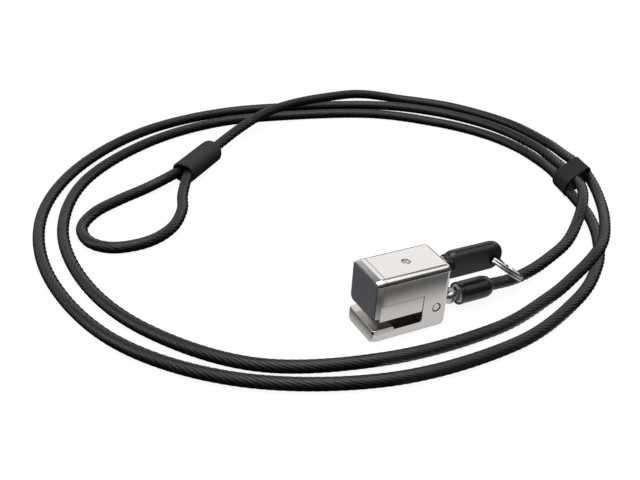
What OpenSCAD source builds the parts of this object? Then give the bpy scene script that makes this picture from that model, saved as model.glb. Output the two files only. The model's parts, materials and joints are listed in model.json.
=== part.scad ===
// Laptop cable lock: a clamping lock head on a swivelling steel cable with a crimped eye.
// Units are millimetres. +Z is up, the flat foot rests on z = 0 and its centre is the origin.
// +X runs along the lock head from the push pad to the key and the cable.

/* [Lock head] */
// Length of the lock head from the push pad to the rear face
head_l = 28; // [25.6:0.2:34]
// Width of the lock head
head_w = 16; // [15.6:0.2:22]
// Height of the lock head
head_h = 23.4; // [23:0.2:30]
// Radius of the long edges of the head
edge_r = 2; // [1:0.1:2.2]
// Radius round the rear face
rear_r = 1.6; // [0.6:0.1:2]
// Radius of the upright edges at the front of the head
front_r = 0.9; // [0.2:0.1:0.9]
// Length of the tapered lead at the front of the head
lead_l = 2.1; // [0.5:0.1:3]
// Depth of the tapered lead at the front face
lead_w = 0.35; // [0.05:0.05:0.35]
// Length of the solid column behind the slot
column_l = 9.75; // [9.4:0.05:13]

/* [Slot and jaw] */
// Thickness of the foot under the slot
foot_t = 4.15; // [3:0.05:5]
// Clear height between the foot and the jaw
slot_h = 4.15; // [4.1:0.05:7]
// Height of the block over the jaw, which holds the lock cylinder
block_h = 9.2; // [9:0.05:10]
// Thickness of the sliding front cap
cap_t = 3.5; // [3.2:0.1:5]
// How far the jaw slides out when it is unlocked
jaw_travel = 6; // [4:0.1:6.2]
// Gap between the sliding faces
slide_gap = 0.15; // [0.1:0.01:0.3]
// Gap between the back of the jaw and the column
jaw_back_gap = 0.25; // [0.15:0.01:0.5]
// Length of the raised lip at the front of the foot
lip_l = 7.7; // [5:0.1:9]
// Thickness of the raised lip
lip_t = 1; // [0.6:0.05:1.6]
// How far the lip is let into the foot
lip_inset = 0.5; // [0.3:0.05:0.8]
// Radius in the inner corner of the slot
slot_r = 1; // [0.2:0.1:1.2]

/* [Push pad] */
// Width of bare metal left round the push pad
pad_rim = 0.4; // [0.3:0.05:1]
// Corner radius of the push pad
pad_r = 1.7; // [1:0.1:2.4]
// Depth of the pocket that holds the push pad
pad_pocket = 1.2; // [0.8:0.05:1.6]
// How far the push pad stands proud of the cap
pad_proud = 0.25; // [0.1:0.05:0.6]

/* [Key cylinder] */
// Radius of the lock cylinder
barrel_r = 3.6; // [3.4:0.05:3.8]
// Wall of metal under the lock cylinder
barrel_wall = 0.5; // [0.4:0.05:1]
// Depth of the lock cylinder from the rear face
barrel_l = 15.4; // [14:0.1:16]
// Depth of the key in the lock
key_depth = 8.8; // [7:0.1:9.2]
// Outer radius of the key's tube
key_tube_r = 2.5; // [2.3:0.05:2.7]
// Radius of the post inside the key's tube
post_r = 1.1; // [0.9:0.05:1.2]
// Radius of the circle of pins
pin_circle_r = 1.8; // [1.7:0.02:1.85]
// Radius of one pin
pin_r = 0.28; // [0.2:0.01:0.32]
// Number of pins in the lock
pin_count = 6; // [4:1:7]
// Length of the rotor disc that carries the pins
rotor_l = 3.4; // [2.8:0.1:3.6]
// Running clearance of turning pieces
run_fit = 0.05; // [0.02:0.01:0.08]

/* [Latch] */
// Radius of the tail bar behind the rotor
tail_r = 0.8; // [0.6:0.05:0.95]
// Span of the T head on the tail bar
tee_span = 5.2; // [4.6:0.1:5.6]
// Width of the T head
tee_w = 1.5; // [1.2:0.05:1.6]
// Thickness of the T head
tee_t = 1.2; // [0.8:0.05:1.3]
// Outer radius of the latch boss on the cap
boss_r = 3.4; // [3.3:0.05:3.5]
// Length of the latch boss behind the cap
boss_l = 5; // [4.6:0.1:5.4]
// Thickness of the slotted wall at the end of the boss
boss_wall = 1.5; // [1:0.05:1.7]

/* [Guides] */
// Sideways distance of each guide from the middle
guide_y = 5.6; // [5.55:0.01:5.7]
// Height of the guides above the key axis
guide_rise = 2.3; // [2.2:0.01:2.5]
// Outer radius of a guide sleeve
sleeve_r = 1.6; // [1.5:0.02:1.65]
// Wall of a guide sleeve
sleeve_wall = 0.3; // [0.25:0.01:0.35]
// Length of a guide sleeve behind the cap
sleeve_l = 8.4; // [8:0.1:8.8]
// Thickness of the shoulder at the end of a sleeve
sleeve_end = 1.2; // [0.8:0.05:1.3]
// Radius of a guide screw's shank
screw_r = 0.75; // [0.6:0.01:0.8]
// Radius of a guide screw's head
screw_head_r = 1.2; // [1.1:0.01:1.22]
// Thickness of a guide screw's head
screw_head_t = 1; // [0.8:0.05:1.2]
// Room for each return spring at rest
spring_room = 6.6; // [6:0.1:7]
// Wire diameter of the return springs
spring_wire = 0.35; // [0.25:0.01:0.4]
// Turns in each return spring
spring_turns = 6; // [4:1:8]

/* [Pins in the head] */
// Diameter of the pin that holds the lock cylinder
top_pin_d = 2.5; // [2:0.1:3]
// Distance of that pin from the middle of the head
top_pin_x = 1; // [-0.2:0.1:3]
// How deep that pin enters the lock cylinder
top_pin_bite = 0.7; // [0.4:0.05:0.8]
// Diameter of the pin that holds the swivel stud
side_pin_d = 2.6; // [2:0.1:2.8]
// Distance of that pin from the rear face
side_pin_back = 4.5; // [3.6:0.1:5]
// How deep that pin enters the groove of the swivel stud
side_pin_bite = 0.8; // [0.5:0.05:1]
// How far the pins lie below the surface
pin_recess = 0.12; // [0.05:0.01:0.3]
// Width of the sunk ring round each pin
pin_rim = 0.35; // [0.2:0.05:0.5]
// Depth of the sunk ring round each pin
pin_rim_depth = 0.3; // [0.15:0.05:0.5]

/* [Swivel] */
// Height of the cable's axis at the lock head
cord_z = 5; // [4.6:0.1:5.2]
// Radius of the swivel stud's shaft
stud_r = 2.8; // [2.6:0.05:2.85]
// Length of the swivel stud inside the head
stud_l = 8.4; // [7.6:0.1:8.6]
// Radius of the knuckle
knuckle_r = 2.9; // [2.8:0.1:3.3]
// Distance of the knuckle's centre from the rear face
knuckle_x = 6.2; // [5.8:0.1:7.2]
// Width of the slot in the knuckle
fork_w = 3; // [2.6:0.1:3.4]
// Radius of the pivot pin
pivot_r = 0.9; // [0.7:0.05:1.1]
// Depth of the recess over each end of the pivot pin
pivot_recess = 0.8; // [0.3:0.05:1]

/* [Cable end] */
// Radius of the flange in the boot's mouth
flange_r = 3.35; // [3.2:0.05:3.5]
// Thickness of the flange
flange_t = 0.8; // [0.6:0.1:1.2]
// How far the flange lies inside the boot's mouth
flange_sunk = 0.3; // [0.1:0.05:0.6]
// Radius of the boot
boot_r = 3.95; // [3.7:0.05:4.5]
// Length of the boot
boot_l = 13.7; // [12:0.1:14]
// Radius round the boot's outer end
boot_tip_r = 1.8; // [0.6:0.1:1.8]
// Radius of the crimped barrel inside the boot
crimp_r = 3.1; // [2.9:0.05:3.2]
// Length of the crimped barrel
crimp_l = 7; // [6:0.1:8]

/* [Cable] */
// Diameter of the cable over its vinyl jacket
cable_d = 4.4; // [4:0.1:4.6]
// Sides of the cable's section
cable_sides = 10; // [8:1:12]
// Longest step between rings of the cable
ring_step = 44; // [26:1:45]

/* [Eye] */
// Length of the cover over the crimped eye
cover_l = 27; // [24:0.5:32]
// Width of the cover
cover_w = 10.2; // [10:0.1:13]
// Height of the cover
cover_h = 8.6; // [8:0.1:11]
// Radius of the cover's edges
cover_r = 3; // [2:0.1:3.4]
// Wall round the open mouth of the cover
mouth_wall = 0.8; // [0.4:0.05:1]
// Depth of the open mouth
mouth_l = 4; // [2:0.5:5]
// Length of the crimp sleeve inside the cover
sleeve_crimp_l = 12; // [10:0.5:14]
// Wall of the crimp sleeve
sleeve_crimp_wall = 0.3; // [0.2:0.05:0.35]
// Distance of the crimp sleeve from the mouth end of the cover
sleeve_crimp_in = 5.5; // [4.5:0.1:6.5]
// Wall at the closed end of the cover
cover_end = 2.5; // [1.5:0.1:4]

/* [Cable strap] */
// Width of the strap, along the cable
strap_w = 11; // [8:0.5:14]
// Outer span of the closed strap
strap_span = 18.6; // [18:0.1:22]
// Outer height of the closed strap
strap_h = 8; // [7.8:0.1:10]
// Thickness of the strap
strap_t = 1.2; // [0.8:0.1:1.3]
// Sideways lean of the closed strap in degrees
strap_lean = 12; // [6:1:14]

/* [Key] */
// Length of bare key tube behind the head
key_bare = 1.2; // [0.8:0.1:4]
// Thickness of the metal collar on the key tube
collar_t = 0.6; // [0.4:0.1:1.5]
// Radius of the metal collar
collar_r = 3.1; // [2.7:0.1:3.3]
// Length of the round neck that the bow grows out of
neck_l = 2.6; // [2:0.1:4]
// Radius of the neck's root
neck_r = 3.5; // [3.2:0.1:4.2]
// Radius of the key's tang inside the bow
tang_r = 1.5; // [1.2:0.1:1.6]
// Length of the key's bow
bow_l = 23.5; // [18:0.1:27]
// Height of the key's bow
bow_h = 10.4; // [9.6:0.1:12]
// Radius at the inner end of the bow
bow_root_r = 3.6; // [2:0.1:4.5]
// How far the middle of the bow lies below the key axis
bow_drop = 0.5; // [0:0.1:0.8]
// Thickness of the key's bow
bow_t = 4.6; // [4:0.1:5]
// Radius at the outer end of the bow
bow_end_r = 5; // [3:0.1:5.1]
// Radius of the bow's face edges
bow_edge_r = 1.6; // [0.6:0.1:1.8]
// Diameter of the ring hole in the bow
ring_hole_d = 3.4; // [2.8:0.1:3.8]
// Distance of the ring hole from the end of the bow
ring_hole_back = 4.6; // [4.2:0.1:6]
// How far the ring hole lies below the key axis
ring_hole_drop = 1; // [0.6:0.1:2]

/* [Key ring] */
// Outer diameter of the split ring
ring_d = 17.1; // [15:0.1:17.2]
// Radial thickness of the ring
ring_t = 1.1; // [0.8:0.05:1.2]
// Thickness of one coil of the ring
ring_coil = 0.95; // [0.7:0.05:1]
// How far the ring hangs below level, in degrees
ring_hang = 37.4; // [34:0.2:37.6]

/* [Hidden] */
$fn = 64;
eps = 0.01;

// Colours
nickel = [0.76, 0.74, 0.72];
steel = [0.62, 0.62, 0.63];
brass = [0.76, 0.62, 0.32];
slate = [0.31, 0.33, 0.36];
satin_black = [0.06, 0.06, 0.065];
vinyl = [0.09, 0.09, 0.095];
webbing = [0.03, 0.03, 0.03];

// Places along the head
x_front = -head_l / 2;
x_rear = head_l / 2;
x_column = x_rear - column_l;
x_jaw_back = x_column - jaw_back_gap;
x_cap_face = x_front + pad_proud;
x_cap_back = x_front + cap_t;
x_block = x_cap_back + slide_gap;

// Heights
z_jaw = foot_t + slot_h;
z_block = head_h - block_h;
jaw_h = z_block - slide_gap - z_jaw;
key_z = z_block + barrel_wall + barrel_r;
guide_z = key_z + guide_rise;

// Lock cylinder and latch, along X
x_barrel = x_rear - barrel_l;
x_key_tip = x_rear - key_depth;
key_gap = 0.3;
x_rotor = x_key_tip - key_gap - rotor_l;
pin_gap = 0.1;
driver_l = 0.9;
spring_seat = 0.5;
pin_clear = 0.03;
x_pin_block = x_rotor - pin_gap;
x_boss_end = x_cap_back + boss_l;
x_boss_wall = x_boss_end - boss_wall;
tee_gap = 0.5;
x_tee = x_boss_wall - tee_gap - tee_t;
chamber_end = x_boss_end + 0.3;
boss_clear = 0.15;
tee_clear = 0.2;
tee_room = 0.25;
slot_w = tee_w + 0.3;
slot_span = tee_span + 0.3;
x_barrel_face = x_rear - 0.3;
x_post_end = x_rear - 0.6;
x_tail_joint = x_barrel - 0.5;

// Guides, along X
x_sleeve_end = x_cap_back + sleeve_l;
x_shoulder = x_sleeve_end - sleeve_end;
stop_gap = 0.05;
x_screw_head = x_shoulder - jaw_travel - stop_gap;
x_spring_end = x_sleeve_end + spring_room;
screw_thread = 3.5;

// Swivel and cable end, along X
x_knuckle = x_rear + knuckle_x;
x_boot = x_knuckle + knuckle_r + 0.2;
x_boot_end = x_boot + boot_l;
x_flange = x_boot + flange_sunk;
x_crimp = x_flange + flange_t;
x_crimp_end = x_crimp + crimp_l;
groove_r = stud_r - side_pin_bite;
side_pin_end = head_w / 2 - 2;
stud_collar = [0.2, 1, 0.4];
stud_neck_r = 2.2;
x_side_pin = x_rear - side_pin_back;
z_side_pin = cord_z + groove_r + run_fit + side_pin_d / 2;
tongue_w = fork_w - 0.2;
tongue_r = knuckle_r - 0.7;
tongue_h = 4;

// Key
key_bore_r = post_r + 0.1;
tang_l = 6;
key_notch = [1.5, 1, 0.8];
x_collar = x_rear + key_bare;
x_bow = x_collar + collar_t + 0.1;
x_bow_end = x_bow + bow_l;
z_bow = key_z - bow_drop;
x_hole = x_bow_end - ring_hole_back;
z_hole = key_z - ring_hole_drop;
ring_mid_r = (ring_d - ring_t) / 2;

// Eye, along and across its cover, with X towards the eye
eye_z = cover_h / 2;
leg_y = cable_d / 2 + 0.05;
crimp_x1 = cover_l / 2 - sleeve_crimp_in;
crimp_x0 = crimp_x1 - sleeve_crimp_l;
cover_room_x = cover_end - cover_l / 2;
cover_nose_r = 1.6;

// Cable route from the crimped barrel at the lock to the eye's cover: each row is [x, y, z]
route = [
    [26, 0, 5], [37, 0, 5], [48, 1, 3.9], [60, 4.5, 2.7], [73, 9.5, 2.3], [86, 15.5, 2.3],
    [97, 23, 3.6], [107, 31.5, 6.6], [115, 41, 7.3], [119.8, 50, 6.2], [124.2, 60, 4.6],
    [129, 74, 2.7], [131, 92, 2.3], [126, 116, 2.2], [111, 139, 2.2], [88, 157, 2.2],
    [54, 168.5, 2.2], [10, 176, 2.2], [-32, 168, 2.2], [-68, 143, 2.2], [-91, 108, 2.2],
    [-98, 66, 2.2], [-88, 23, 2.2], [-60, -9, 2.2], [-18, -27, 2.2], [28, -28, 2.2],
    [63, -16.5, 2.2], [85, -2.5, 2.2], [99, 12.5, 2.2], [109, 29, 2.2], [114.4, 46, 2.6],
    [118.8, 60.4, 3.4], [122.3, 75, 2.5], [122, 93, 2.3], [116, 111, 2.2], [103, 129, 2.2],
    [79, 149, 2.2], [44, 160.5, 2.2], [4, 166, 2.2], [-34, 156, 2.2], [-68, 131, 2.2],
    [-86, 96, 2.2], [-88, 58, 2.2], [-77, 24, 2.2], [-52, -5, 2.2], [-14, -18, 2.2],
    [26, -19, 2.3], [54, -12, 2.5], [70.5, -6.5, 4.4], [82.5, -2, 7], [93.5, 5, 7.2],
    [105, 16.5, 6.8], [116, 30, 5.4], [125, 45, 5.6], [131.5, 60, 5.6], [136.5, 76, 3.3],
    [139, 93, 2.3], [135.5, 117, 2.2], [121, 143, 2.2], [100, 160, 2.9], [80, 166, 6],
    [60, 165.5, 7.2], [41, 164, 7.1], [24, 158.5, 6.9], [8, 149.5, 5.8], [-6.5, 139.4, 4.5],
    [-12, 134.7, 4.3], [-19.2, 131.6, 4.3]];

// Route of the eye, from one hole in the cover to the other
eye_route = [
    [-19.2, 131.6, 4.3], [-29, 123.4, 4.3], [-32.8, 120.5, 4.3], [-40, 116.8, 3.9],
    [-49, 114, 2.7], [-61, 109.5, 2.3], [-72, 103.5, 2.2], [-79.5, 94, 2.2], [-79.5, 83, 2.2],
    [-72.5, 76, 2.2], [-60, 75.5, 2.2], [-49, 81.5, 2.3], [-41, 92.5, 2.4], [-36.5, 104, 3],
    [-29.5, 116.8, 4.3], [-26, 119.9, 4.3], [-17, 127.5, 4.3]];

// The eye's cover lies at this place and turn
cover_pos = [-20.8, 127.3, 0];
cover_turn = 40;
// The closed strap lies at this place, across and along the cables
strap_pos = [122.3, 55.3];
strap_across = 13;
strap_along = 76;

// ---- General shapes ----

// Rounded rectangle about the origin
module rounded_rect(w, h, r) {
    square([w - 2 * r, h], center = true);
    square([w, h - 2 * r], center = true);
    for (sx = [-1, 1], sy = [-1, 1])
        translate([sx * (w / 2 - r), sy * (h / 2 - r)]) circle(r);
}

// Extrudes a Y-Z outline along X from x0 to x1
module along_x(x0, x1) {
    translate([x0, 0, 0]) rotate([90, 0, 90]) linear_extrude(x1 - x0) children();
}

// Extrudes an X-Z outline along Y through the whole width w
module across_y(w) {
    translate([0, w / 2, 0]) rotate([90, 0, 0]) linear_extrude(w) children();
}

// Cylinder along X
module rod_x(x0, x1, r, y = 0, z = 0) {
    translate([x0, y, z]) rotate([0, 90, 0]) cylinder(r = r, h = x1 - x0);
}

// Cylinder along Y
module rod_y(y0, y1, r, x = 0, z = 0) {
    translate([x, y0, z]) rotate([-90, 0, 0]) cylinder(r = r, h = y1 - y0);
}

// Puts a copy at each guide
module at_guides() {
    for (side = [-1, 1]) translate([0, side * guide_y, guide_z]) children();
}

// Puts a copy at each lock pin
module at_pins() {
    for (i = [0 : pin_count - 1])
        rotate([i * 360 / pin_count, 0, 0]) translate([0, 0, pin_circle_r]) children();
}

// ---- Swept tubes ----

function unit(v) = v / norm(v);

// Point at share t of a span between b and c on a smooth curve through a, b, c, d
function curve_point(a, b, c, d, t) =
    0.5 * ((2 * b) + (c - a) * t + (2 * a - 5 * b + 4 * c - d) * t * t
           + (3 * b - a - 3 * c + d) * t * t * t);

// A route's point by number, carried on past both ends
function route_point(p, i) =
    i < 0 ? 2 * p[0] - p[1] : i >= len(p) ? 2 * p[len(p) - 1] - p[len(p) - 2] : p[i];

// Points along a smooth curve through the route, no further apart than step
function smooth_route(p, step) = concat(
    [for (i = [0 : len(p) - 2])
        let (n = ceil(norm(p[i + 1] - p[i]) / step))
        for (k = [0 : n - 1])
            curve_point(route_point(p, i - 1), p[i], p[i + 1], route_point(p, i + 2), k / n)],
    [p[len(p) - 1]]);

// Direction of a line of points at point i
function heading(p, i) =
    unit(p[min(i + 1, len(p) - 1)] - p[max(i - 1, 0)]);

// One ring of n corners round point i, with its last corner underneath
function tube_ring(p, i, r, n) =
    let (t = heading(p, i), side = unit(cross(t, [0, 0, 1])), up = cross(side, t))
    [for (k = [0 : n - 1])
        let (a = 360 * k / n - 90) p[i] + r * (cos(a) * side + sin(a) * up)];

// Tube of n sides along the points
module tube(p, r, n) {
    corners = [for (i = [0 : len(p) - 1]) each tube_ring(p, i, r, n)];
    walls = [for (i = [0 : len(p) - 2], k = [0 : n - 1])
        let (a = i * n + k, b = i * n + (k + 1) % n) each [[a, b, a + n], [b, b + n, a + n]]];
    first = [for (k = [1 : n - 2]) [0, k + 1, k]];
    base = (len(p) - 1) * n;
    last = [for (k = [1 : n - 2]) [base, base + k, base + k + 1]];
    polyhedron(corners, concat(walls, first, last), convexity = 10);
}

// Points of a coil spring of the given mean radius along X
function coil_points(length, radius, turns, steps) =
    [for (i = [0 : turns * steps])
        let (a = 360 * i / steps)
        [length * i / (turns * steps), radius * cos(a), radius * sin(a)]];

// One ring of n corners on a coil spring, square to its wire
function coil_ring(p, i, r, n) =
    let (t = heading(p, i), out = unit([0, p[i][1], p[i][2]]), side = unit(cross(t, out)),
         rise = cross(side, t))
    [for (k = [0 : n - 1]) let (a = 360 * k / n) p[i] + r * (cos(a) * rise + sin(a) * side)];

// Coil spring along X
module coil_spring(length, radius, wire, turns) {
    sides = 5;
    steps = 10;
    p = coil_points(length, radius, turns, steps);
    corners = [for (i = [0 : len(p) - 1]) each coil_ring(p, i, wire / 2, sides)];
    walls = [for (i = [0 : len(p) - 2], k = [0 : sides - 1])
        let (a = i * sides + k, b = i * sides + (k + 1) % sides)
            each [[a, b, a + sides], [b, b + sides, a + sides]]];
    base = (len(p) - 1) * sides;
    first = [for (k = [1 : sides - 2]) [0, k + 1, k]];
    last = [for (k = [1 : sides - 2]) [base, base + k, base + k + 1]];
    polyhedron(corners, concat(walls, first, last), convexity = 10);
}

// ---- Lock head ----

// Outline of the whole head seen along X
module head_section() {
    translate([0, head_h / 2]) rounded_rect(head_w, head_h, edge_r);
}

// Half of a lead: a wall of the given half width that tapers in at the front face
module lead_outline(half) {
    polygon([[x_front, -half + lead_w], [x_front + lead_l, -half], [x_rear + head_l, -half],
             [x_rear + head_l, half], [x_front + lead_l, half], [x_front, half - lead_w]]);
}

// Solid head between x0 and x1, with a tapered front and rounded upright edges
module head_solid(x0, x1) {
    intersection() {
        along_x(x0, x1) head_section();
        translate([x_rear - head_l, 0, 0]) linear_extrude(head_h)
            rounded_rect(2 * head_l, head_w, rear_r);
        translate([x_front + head_l, 0, 0]) linear_extrude(head_h)
            rounded_rect(2 * head_l, head_w, front_r);
        across_y(head_w) translate([x_rear - head_l, head_h / 2])
            rounded_rect(2 * head_l, head_h, rear_r);
        linear_extrude(head_h) lead_outline(head_w / 2);
        across_y(head_w) translate([0, head_h / 2]) lead_outline(head_h / 2);
    }
}

// Outline of the slot and the jaw's space seen along Y, rounded in its inner corner
module slot_outline() {
    difference() {
        translate([x_front - 1, foot_t]) square([x_column - x_front + 1, z_block - foot_t]);
        translate([x_column - slot_r, foot_t - eps]) difference() {
            square([slot_r + 1, slot_r + eps]);
            translate([0, slot_r + eps]) circle(slot_r);
        }
    }
}

module housing() {
    color(nickel) difference() {
        head_solid(x_front, x_rear);
        // Space for the sliding cap and jaw, and the slot under them
        translate([x_front - 1, -head_w, foot_t]) cube([x_block - x_front + 1, 2 * head_w, head_h]);
        across_y(2 * head_w) slot_outline();
        // Seat of the lip
        translate([x_front - 1, -head_w, foot_t - lip_inset]) cube([lip_l + 1, 2 * head_w, 2]);
        // Latch chamber, tail bar and lock cylinder
        rod_x(x_block - eps, chamber_end, boss_r + boss_clear, 0, key_z);
        rod_x(chamber_end - eps, x_barrel + eps, tee_span / 2 + tee_clear, 0, key_z);
        rod_x(x_barrel, x_rear + 1, barrel_r, 0, key_z);
        // Guides
        at_guides() {
            rod_x(x_block - eps, x_spring_end, sleeve_r + run_fit);
            rod_x(x_spring_end - eps, x_spring_end + screw_thread, screw_r);
        }
        // Cross pins, each in a sunk ring
        translate([top_pin_x, 0, key_z]) cylinder(d = top_pin_d, h = head_h);
        translate([top_pin_x, 0, head_h - pin_rim_depth])
            cylinder(d = top_pin_d + 2 * pin_rim, h = pin_rim_depth + 1);
        rod_y(-head_w, side_pin_end, side_pin_d / 2, x_side_pin, z_side_pin);
        rod_y(-head_w, pin_rim_depth - head_w / 2, side_pin_d / 2 + pin_rim, x_side_pin, z_side_pin);
        // Swivel stud
        rod_x(x_rear - stud_l - 0.1, x_rear + 1, stud_r + run_fit, 0, cord_z);
    }
}

module foot_lip() {
    z0 = foot_t - lip_inset;
    color(nickel) intersection() {
        translate([x_front, -head_w / 2, z0]) cube([lip_l, head_w, lip_t + lip_inset]);
        across_y(head_w) translate([x_front + lip_l / 2, z0 + lip_t / 2 + lip_inset / 2 - 1])
            rounded_rect(lip_l, lip_t + lip_inset + 2, 0.4);
        linear_extrude(head_h) lead_outline(head_w / 2);
        translate([x_front + head_l, 0, 0]) linear_extrude(head_h)
            rounded_rect(2 * head_l, head_w, front_r);
    }
}

module top_pin() {
    z0 = key_z + barrel_r - top_pin_bite;
    color(steel) translate([top_pin_x, 0, z0])
        cylinder(d = top_pin_d, h = head_h - pin_recess - z0);
}

module side_pin() {
    color(steel)
        rod_y(-head_w / 2 + pin_recess, side_pin_end, side_pin_d / 2, x_side_pin, z_side_pin);
}

module lock_barrel() {
    color(brass) difference() {
        rod_x(x_barrel, x_barrel_face, barrel_r, 0, key_z);
        rod_x(x_barrel - 1, x_rear + 1, key_tube_r + run_fit, 0, key_z);
        translate([top_pin_x, 0, key_z + barrel_r - top_pin_bite])
            cylinder(d = top_pin_d, h = barrel_r);
    }
}

module pin_block() {
    color(brass) translate([0, 0, key_z]) difference() {
        rod_x(x_barrel, x_pin_block, key_tube_r + run_fit);
        rod_x(x_barrel - 1, x_pin_block + 1, tail_r + run_fit);
        at_pins() rod_x(x_barrel + spring_seat, x_pin_block + 1, pin_r + pin_clear);
    }
}

module driver_pins() {
    color(steel) translate([0, 0, key_z])
        at_pins() rod_x(x_pin_block - driver_l, x_pin_block, pin_r);
}

module pin_springs() {
    x0 = x_barrel + spring_seat;
    color(steel) translate([0, 0, key_z]) at_pins() difference() {
        rod_x(x0, x_pin_block - driver_l, pin_r);
        rod_x(x0 - 1, x_pin_block, pin_r - 0.1);
    }
}

module guide_screws() {
    color(steel) at_guides() {
        rod_x(x_screw_head - screw_head_t, x_screw_head, screw_head_r);
        rod_x(x_screw_head - eps, x_spring_end + screw_thread, screw_r);
    }
}

module return_springs() {
    inset = spring_wire / 2 + 0.05;
    mid_r = (screw_r + sleeve_r + run_fit) / 2;
    color(steel) at_guides() translate([x_sleeve_end + inset, 0, 0])
        coil_spring(spring_room - 2 * inset, mid_r, spring_wire, spring_turns);
}

// ---- Jaw ----

// Outline of the cap seen along X, from the jaw's lower face to the top of the head
module cap_section() {
    translate([0, z_jaw + (head_h - z_jaw) / 2]) rounded_rect(head_w, head_h - z_jaw, edge_r);
}

module jaw_slider() {
    color(nickel) difference() {
        union() {
            intersection() {
                along_x(x_cap_face, x_cap_back) cap_section();
                head_solid(x_cap_face, x_cap_back);
            }
            along_x(x_cap_back - eps, x_jaw_back)
                translate([0, z_jaw + jaw_h / 2]) square([head_w, jaw_h], center = true);
            rod_x(x_cap_back - eps, x_boss_end, boss_r, 0, key_z);
            at_guides() rod_x(x_cap_back - eps, x_sleeve_end, sleeve_r);
        }
        // Pocket for the push pad
        along_x(x_cap_face - 1, x_cap_face + pad_pocket) pad_outline(0);
        // Inside of the latch boss, and the slot that lets the T head through
        rod_x(x_cap_back - 1, x_boss_wall, tee_span / 2 + tee_room, 0, key_z);
        translate([x_boss_wall - 1, -slot_w / 2, key_z - slot_span / 2])
            cube([boss_wall + 2, slot_w, slot_span]);
        // Stepped bores of the guide sleeves
        at_guides() {
            rod_x(x_cap_face, x_shoulder, sleeve_r - sleeve_wall);
            rod_x(x_shoulder - eps, x_sleeve_end + 1, screw_r + run_fit);
        }
    }
}

// Outline of the push pad, smaller by inset all round
module pad_outline(inset) {
    rim = pad_rim + inset;
    translate([0, z_jaw + (head_h - z_jaw) / 2])
        rounded_rect(head_w - 2 * rim, head_h - z_jaw - 2 * rim, pad_r);
}

module push_pad() {
    color(slate) along_x(x_front, x_cap_face + pad_pocket) pad_outline(0);
}

// ---- Rotor and latch ----

module rotor() {
    color(brass) translate([0, 0, key_z]) difference() {
        union() {
            rod_x(x_rotor, x_rotor + rotor_l, key_tube_r);
            rod_x(x_rotor, x_post_end, post_r);
            rod_x(x_tail_joint, x_rotor + eps, tail_r);
        }
        at_pins() rod_x(x_rotor - 1, x_rotor + rotor_l + 1, pin_r + pin_clear);
    }
}

module tumbler_pins() {
    color(brass) translate([0, 0, key_z]) at_pins() rod_x(x_rotor, x_key_tip, pin_r);
}

module tail_bar() {
    color(steel) {
        rod_x(x_tee, x_tail_joint, tail_r, 0, key_z);
        translate([x_tee, -tee_w / 2, key_z - tee_span / 2]) cube([tee_t, tee_w, tee_span]);
    }
}

// ---- Key ----

module key_shank() {
    color(steel) translate([0, 0, key_z]) difference() {
        union() {
            rod_x(x_key_tip, x_bow + neck_l, key_tube_r - run_fit);
            rod_x(x_collar, x_collar + collar_t, collar_r);
            rod_x(x_bow + neck_l - eps, x_bow + neck_l + tang_l, tang_r);
        }
        rod_x(x_key_tip - 1, x_rear + 0.5, key_bore_r);
        // Notch that lines the key up with the lock
        translate([x_key_tip - 1, -key_notch[1] / 2, key_tube_r - key_notch[2]])
            cube([key_notch[0] + 1, key_notch[1], 2]);
    }
}

// Outline of the bow seen along Y
module bow_outline() {
    mid = (x_bow + x_bow_end) / 2;
    intersection() {
        translate([mid + bow_l / 2, z_bow]) rounded_rect(2 * bow_l, bow_h, bow_root_r);
        translate([mid - bow_l / 2, z_bow]) rounded_rect(2 * bow_l, bow_h, bow_end_r);
    }
}

module key_bow() {
    mid = (x_bow + x_bow_end) / 2;
    color(satin_black) difference() {
        union() {
            intersection() {
                across_y(bow_t) bow_outline();
                along_x(x_bow, x_bow_end)
                    translate([0, z_bow]) rounded_rect(bow_t, bow_h, bow_edge_r);
                translate([mid, 0, z_bow - bow_h]) linear_extrude(2 * bow_h)
                    rounded_rect(x_bow_end - x_bow, bow_t, bow_edge_r);
            }
            // Stepped round neck
            rod_x(x_bow, x_bow + neck_l, collar_r, 0, key_z);
            rod_x(x_bow + neck_l / 3, x_bow + neck_l, neck_r, 0, key_z);
        }
        rod_x(x_bow - 1, x_bow + neck_l, key_tube_r - run_fit, 0, key_z);
        rod_x(x_bow + neck_l - eps, x_bow + neck_l + tang_l, tang_r, 0, key_z);
        rod_y(-bow_t, bow_t, ring_hole_d / 2, x_hole, z_hole);
    }
}

module key_ring() {
    color(steel) translate([x_hole, 0, z_hole]) rotate([0, ring_hang, 0])
        translate([ring_mid_r, 0, 0])
            rotate_extrude() for (coil = [-1, 1])
                translate([ring_mid_r, coil * ring_coil / 2])
                    rounded_rect(ring_t, ring_coil + eps, 0.3);
}

// ---- Swivel ----

module swivel_stud() {
    color(steel) translate([0, 0, cord_z]) difference() {
        union() {
            rod_x(x_rear - stud_l, x_rear + stud_collar[0] + eps, stud_r);
            rod_x(x_rear + stud_collar[0], x_rear + stud_collar[1], stud_r + stud_collar[2]);
            rod_x(x_rear + stud_collar[1] - eps, x_knuckle, stud_neck_r);
            translate([x_knuckle, 0, 0]) sphere(knuckle_r);
        }
        // Groove for the side pin
        difference() {
            rod_x(x_side_pin - side_pin_d / 2 - 0.1, x_side_pin + side_pin_d / 2 + 0.1, stud_r + 1);
            rod_x(x_side_pin - side_pin_d, x_side_pin + side_pin_d, groove_r);
        }
        // Slot for the tongue, and the pivot pin's hole
        translate([x_knuckle - tongue_r - 0.15, -fork_w / 2, -knuckle_r - 1])
            cube([2 * knuckle_r + 2, fork_w, 2 * knuckle_r + 2]);
        rod_y(-knuckle_r - 1, knuckle_r + 1, pivot_r, x_knuckle, 0);
    }
}

module pivot_pin() {
    reach = knuckle_r - pivot_recess - 0.15;
    color(steel) rod_y(-reach, reach, pivot_r, x_knuckle, cord_z);
}

// ---- Cable end ----

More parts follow.
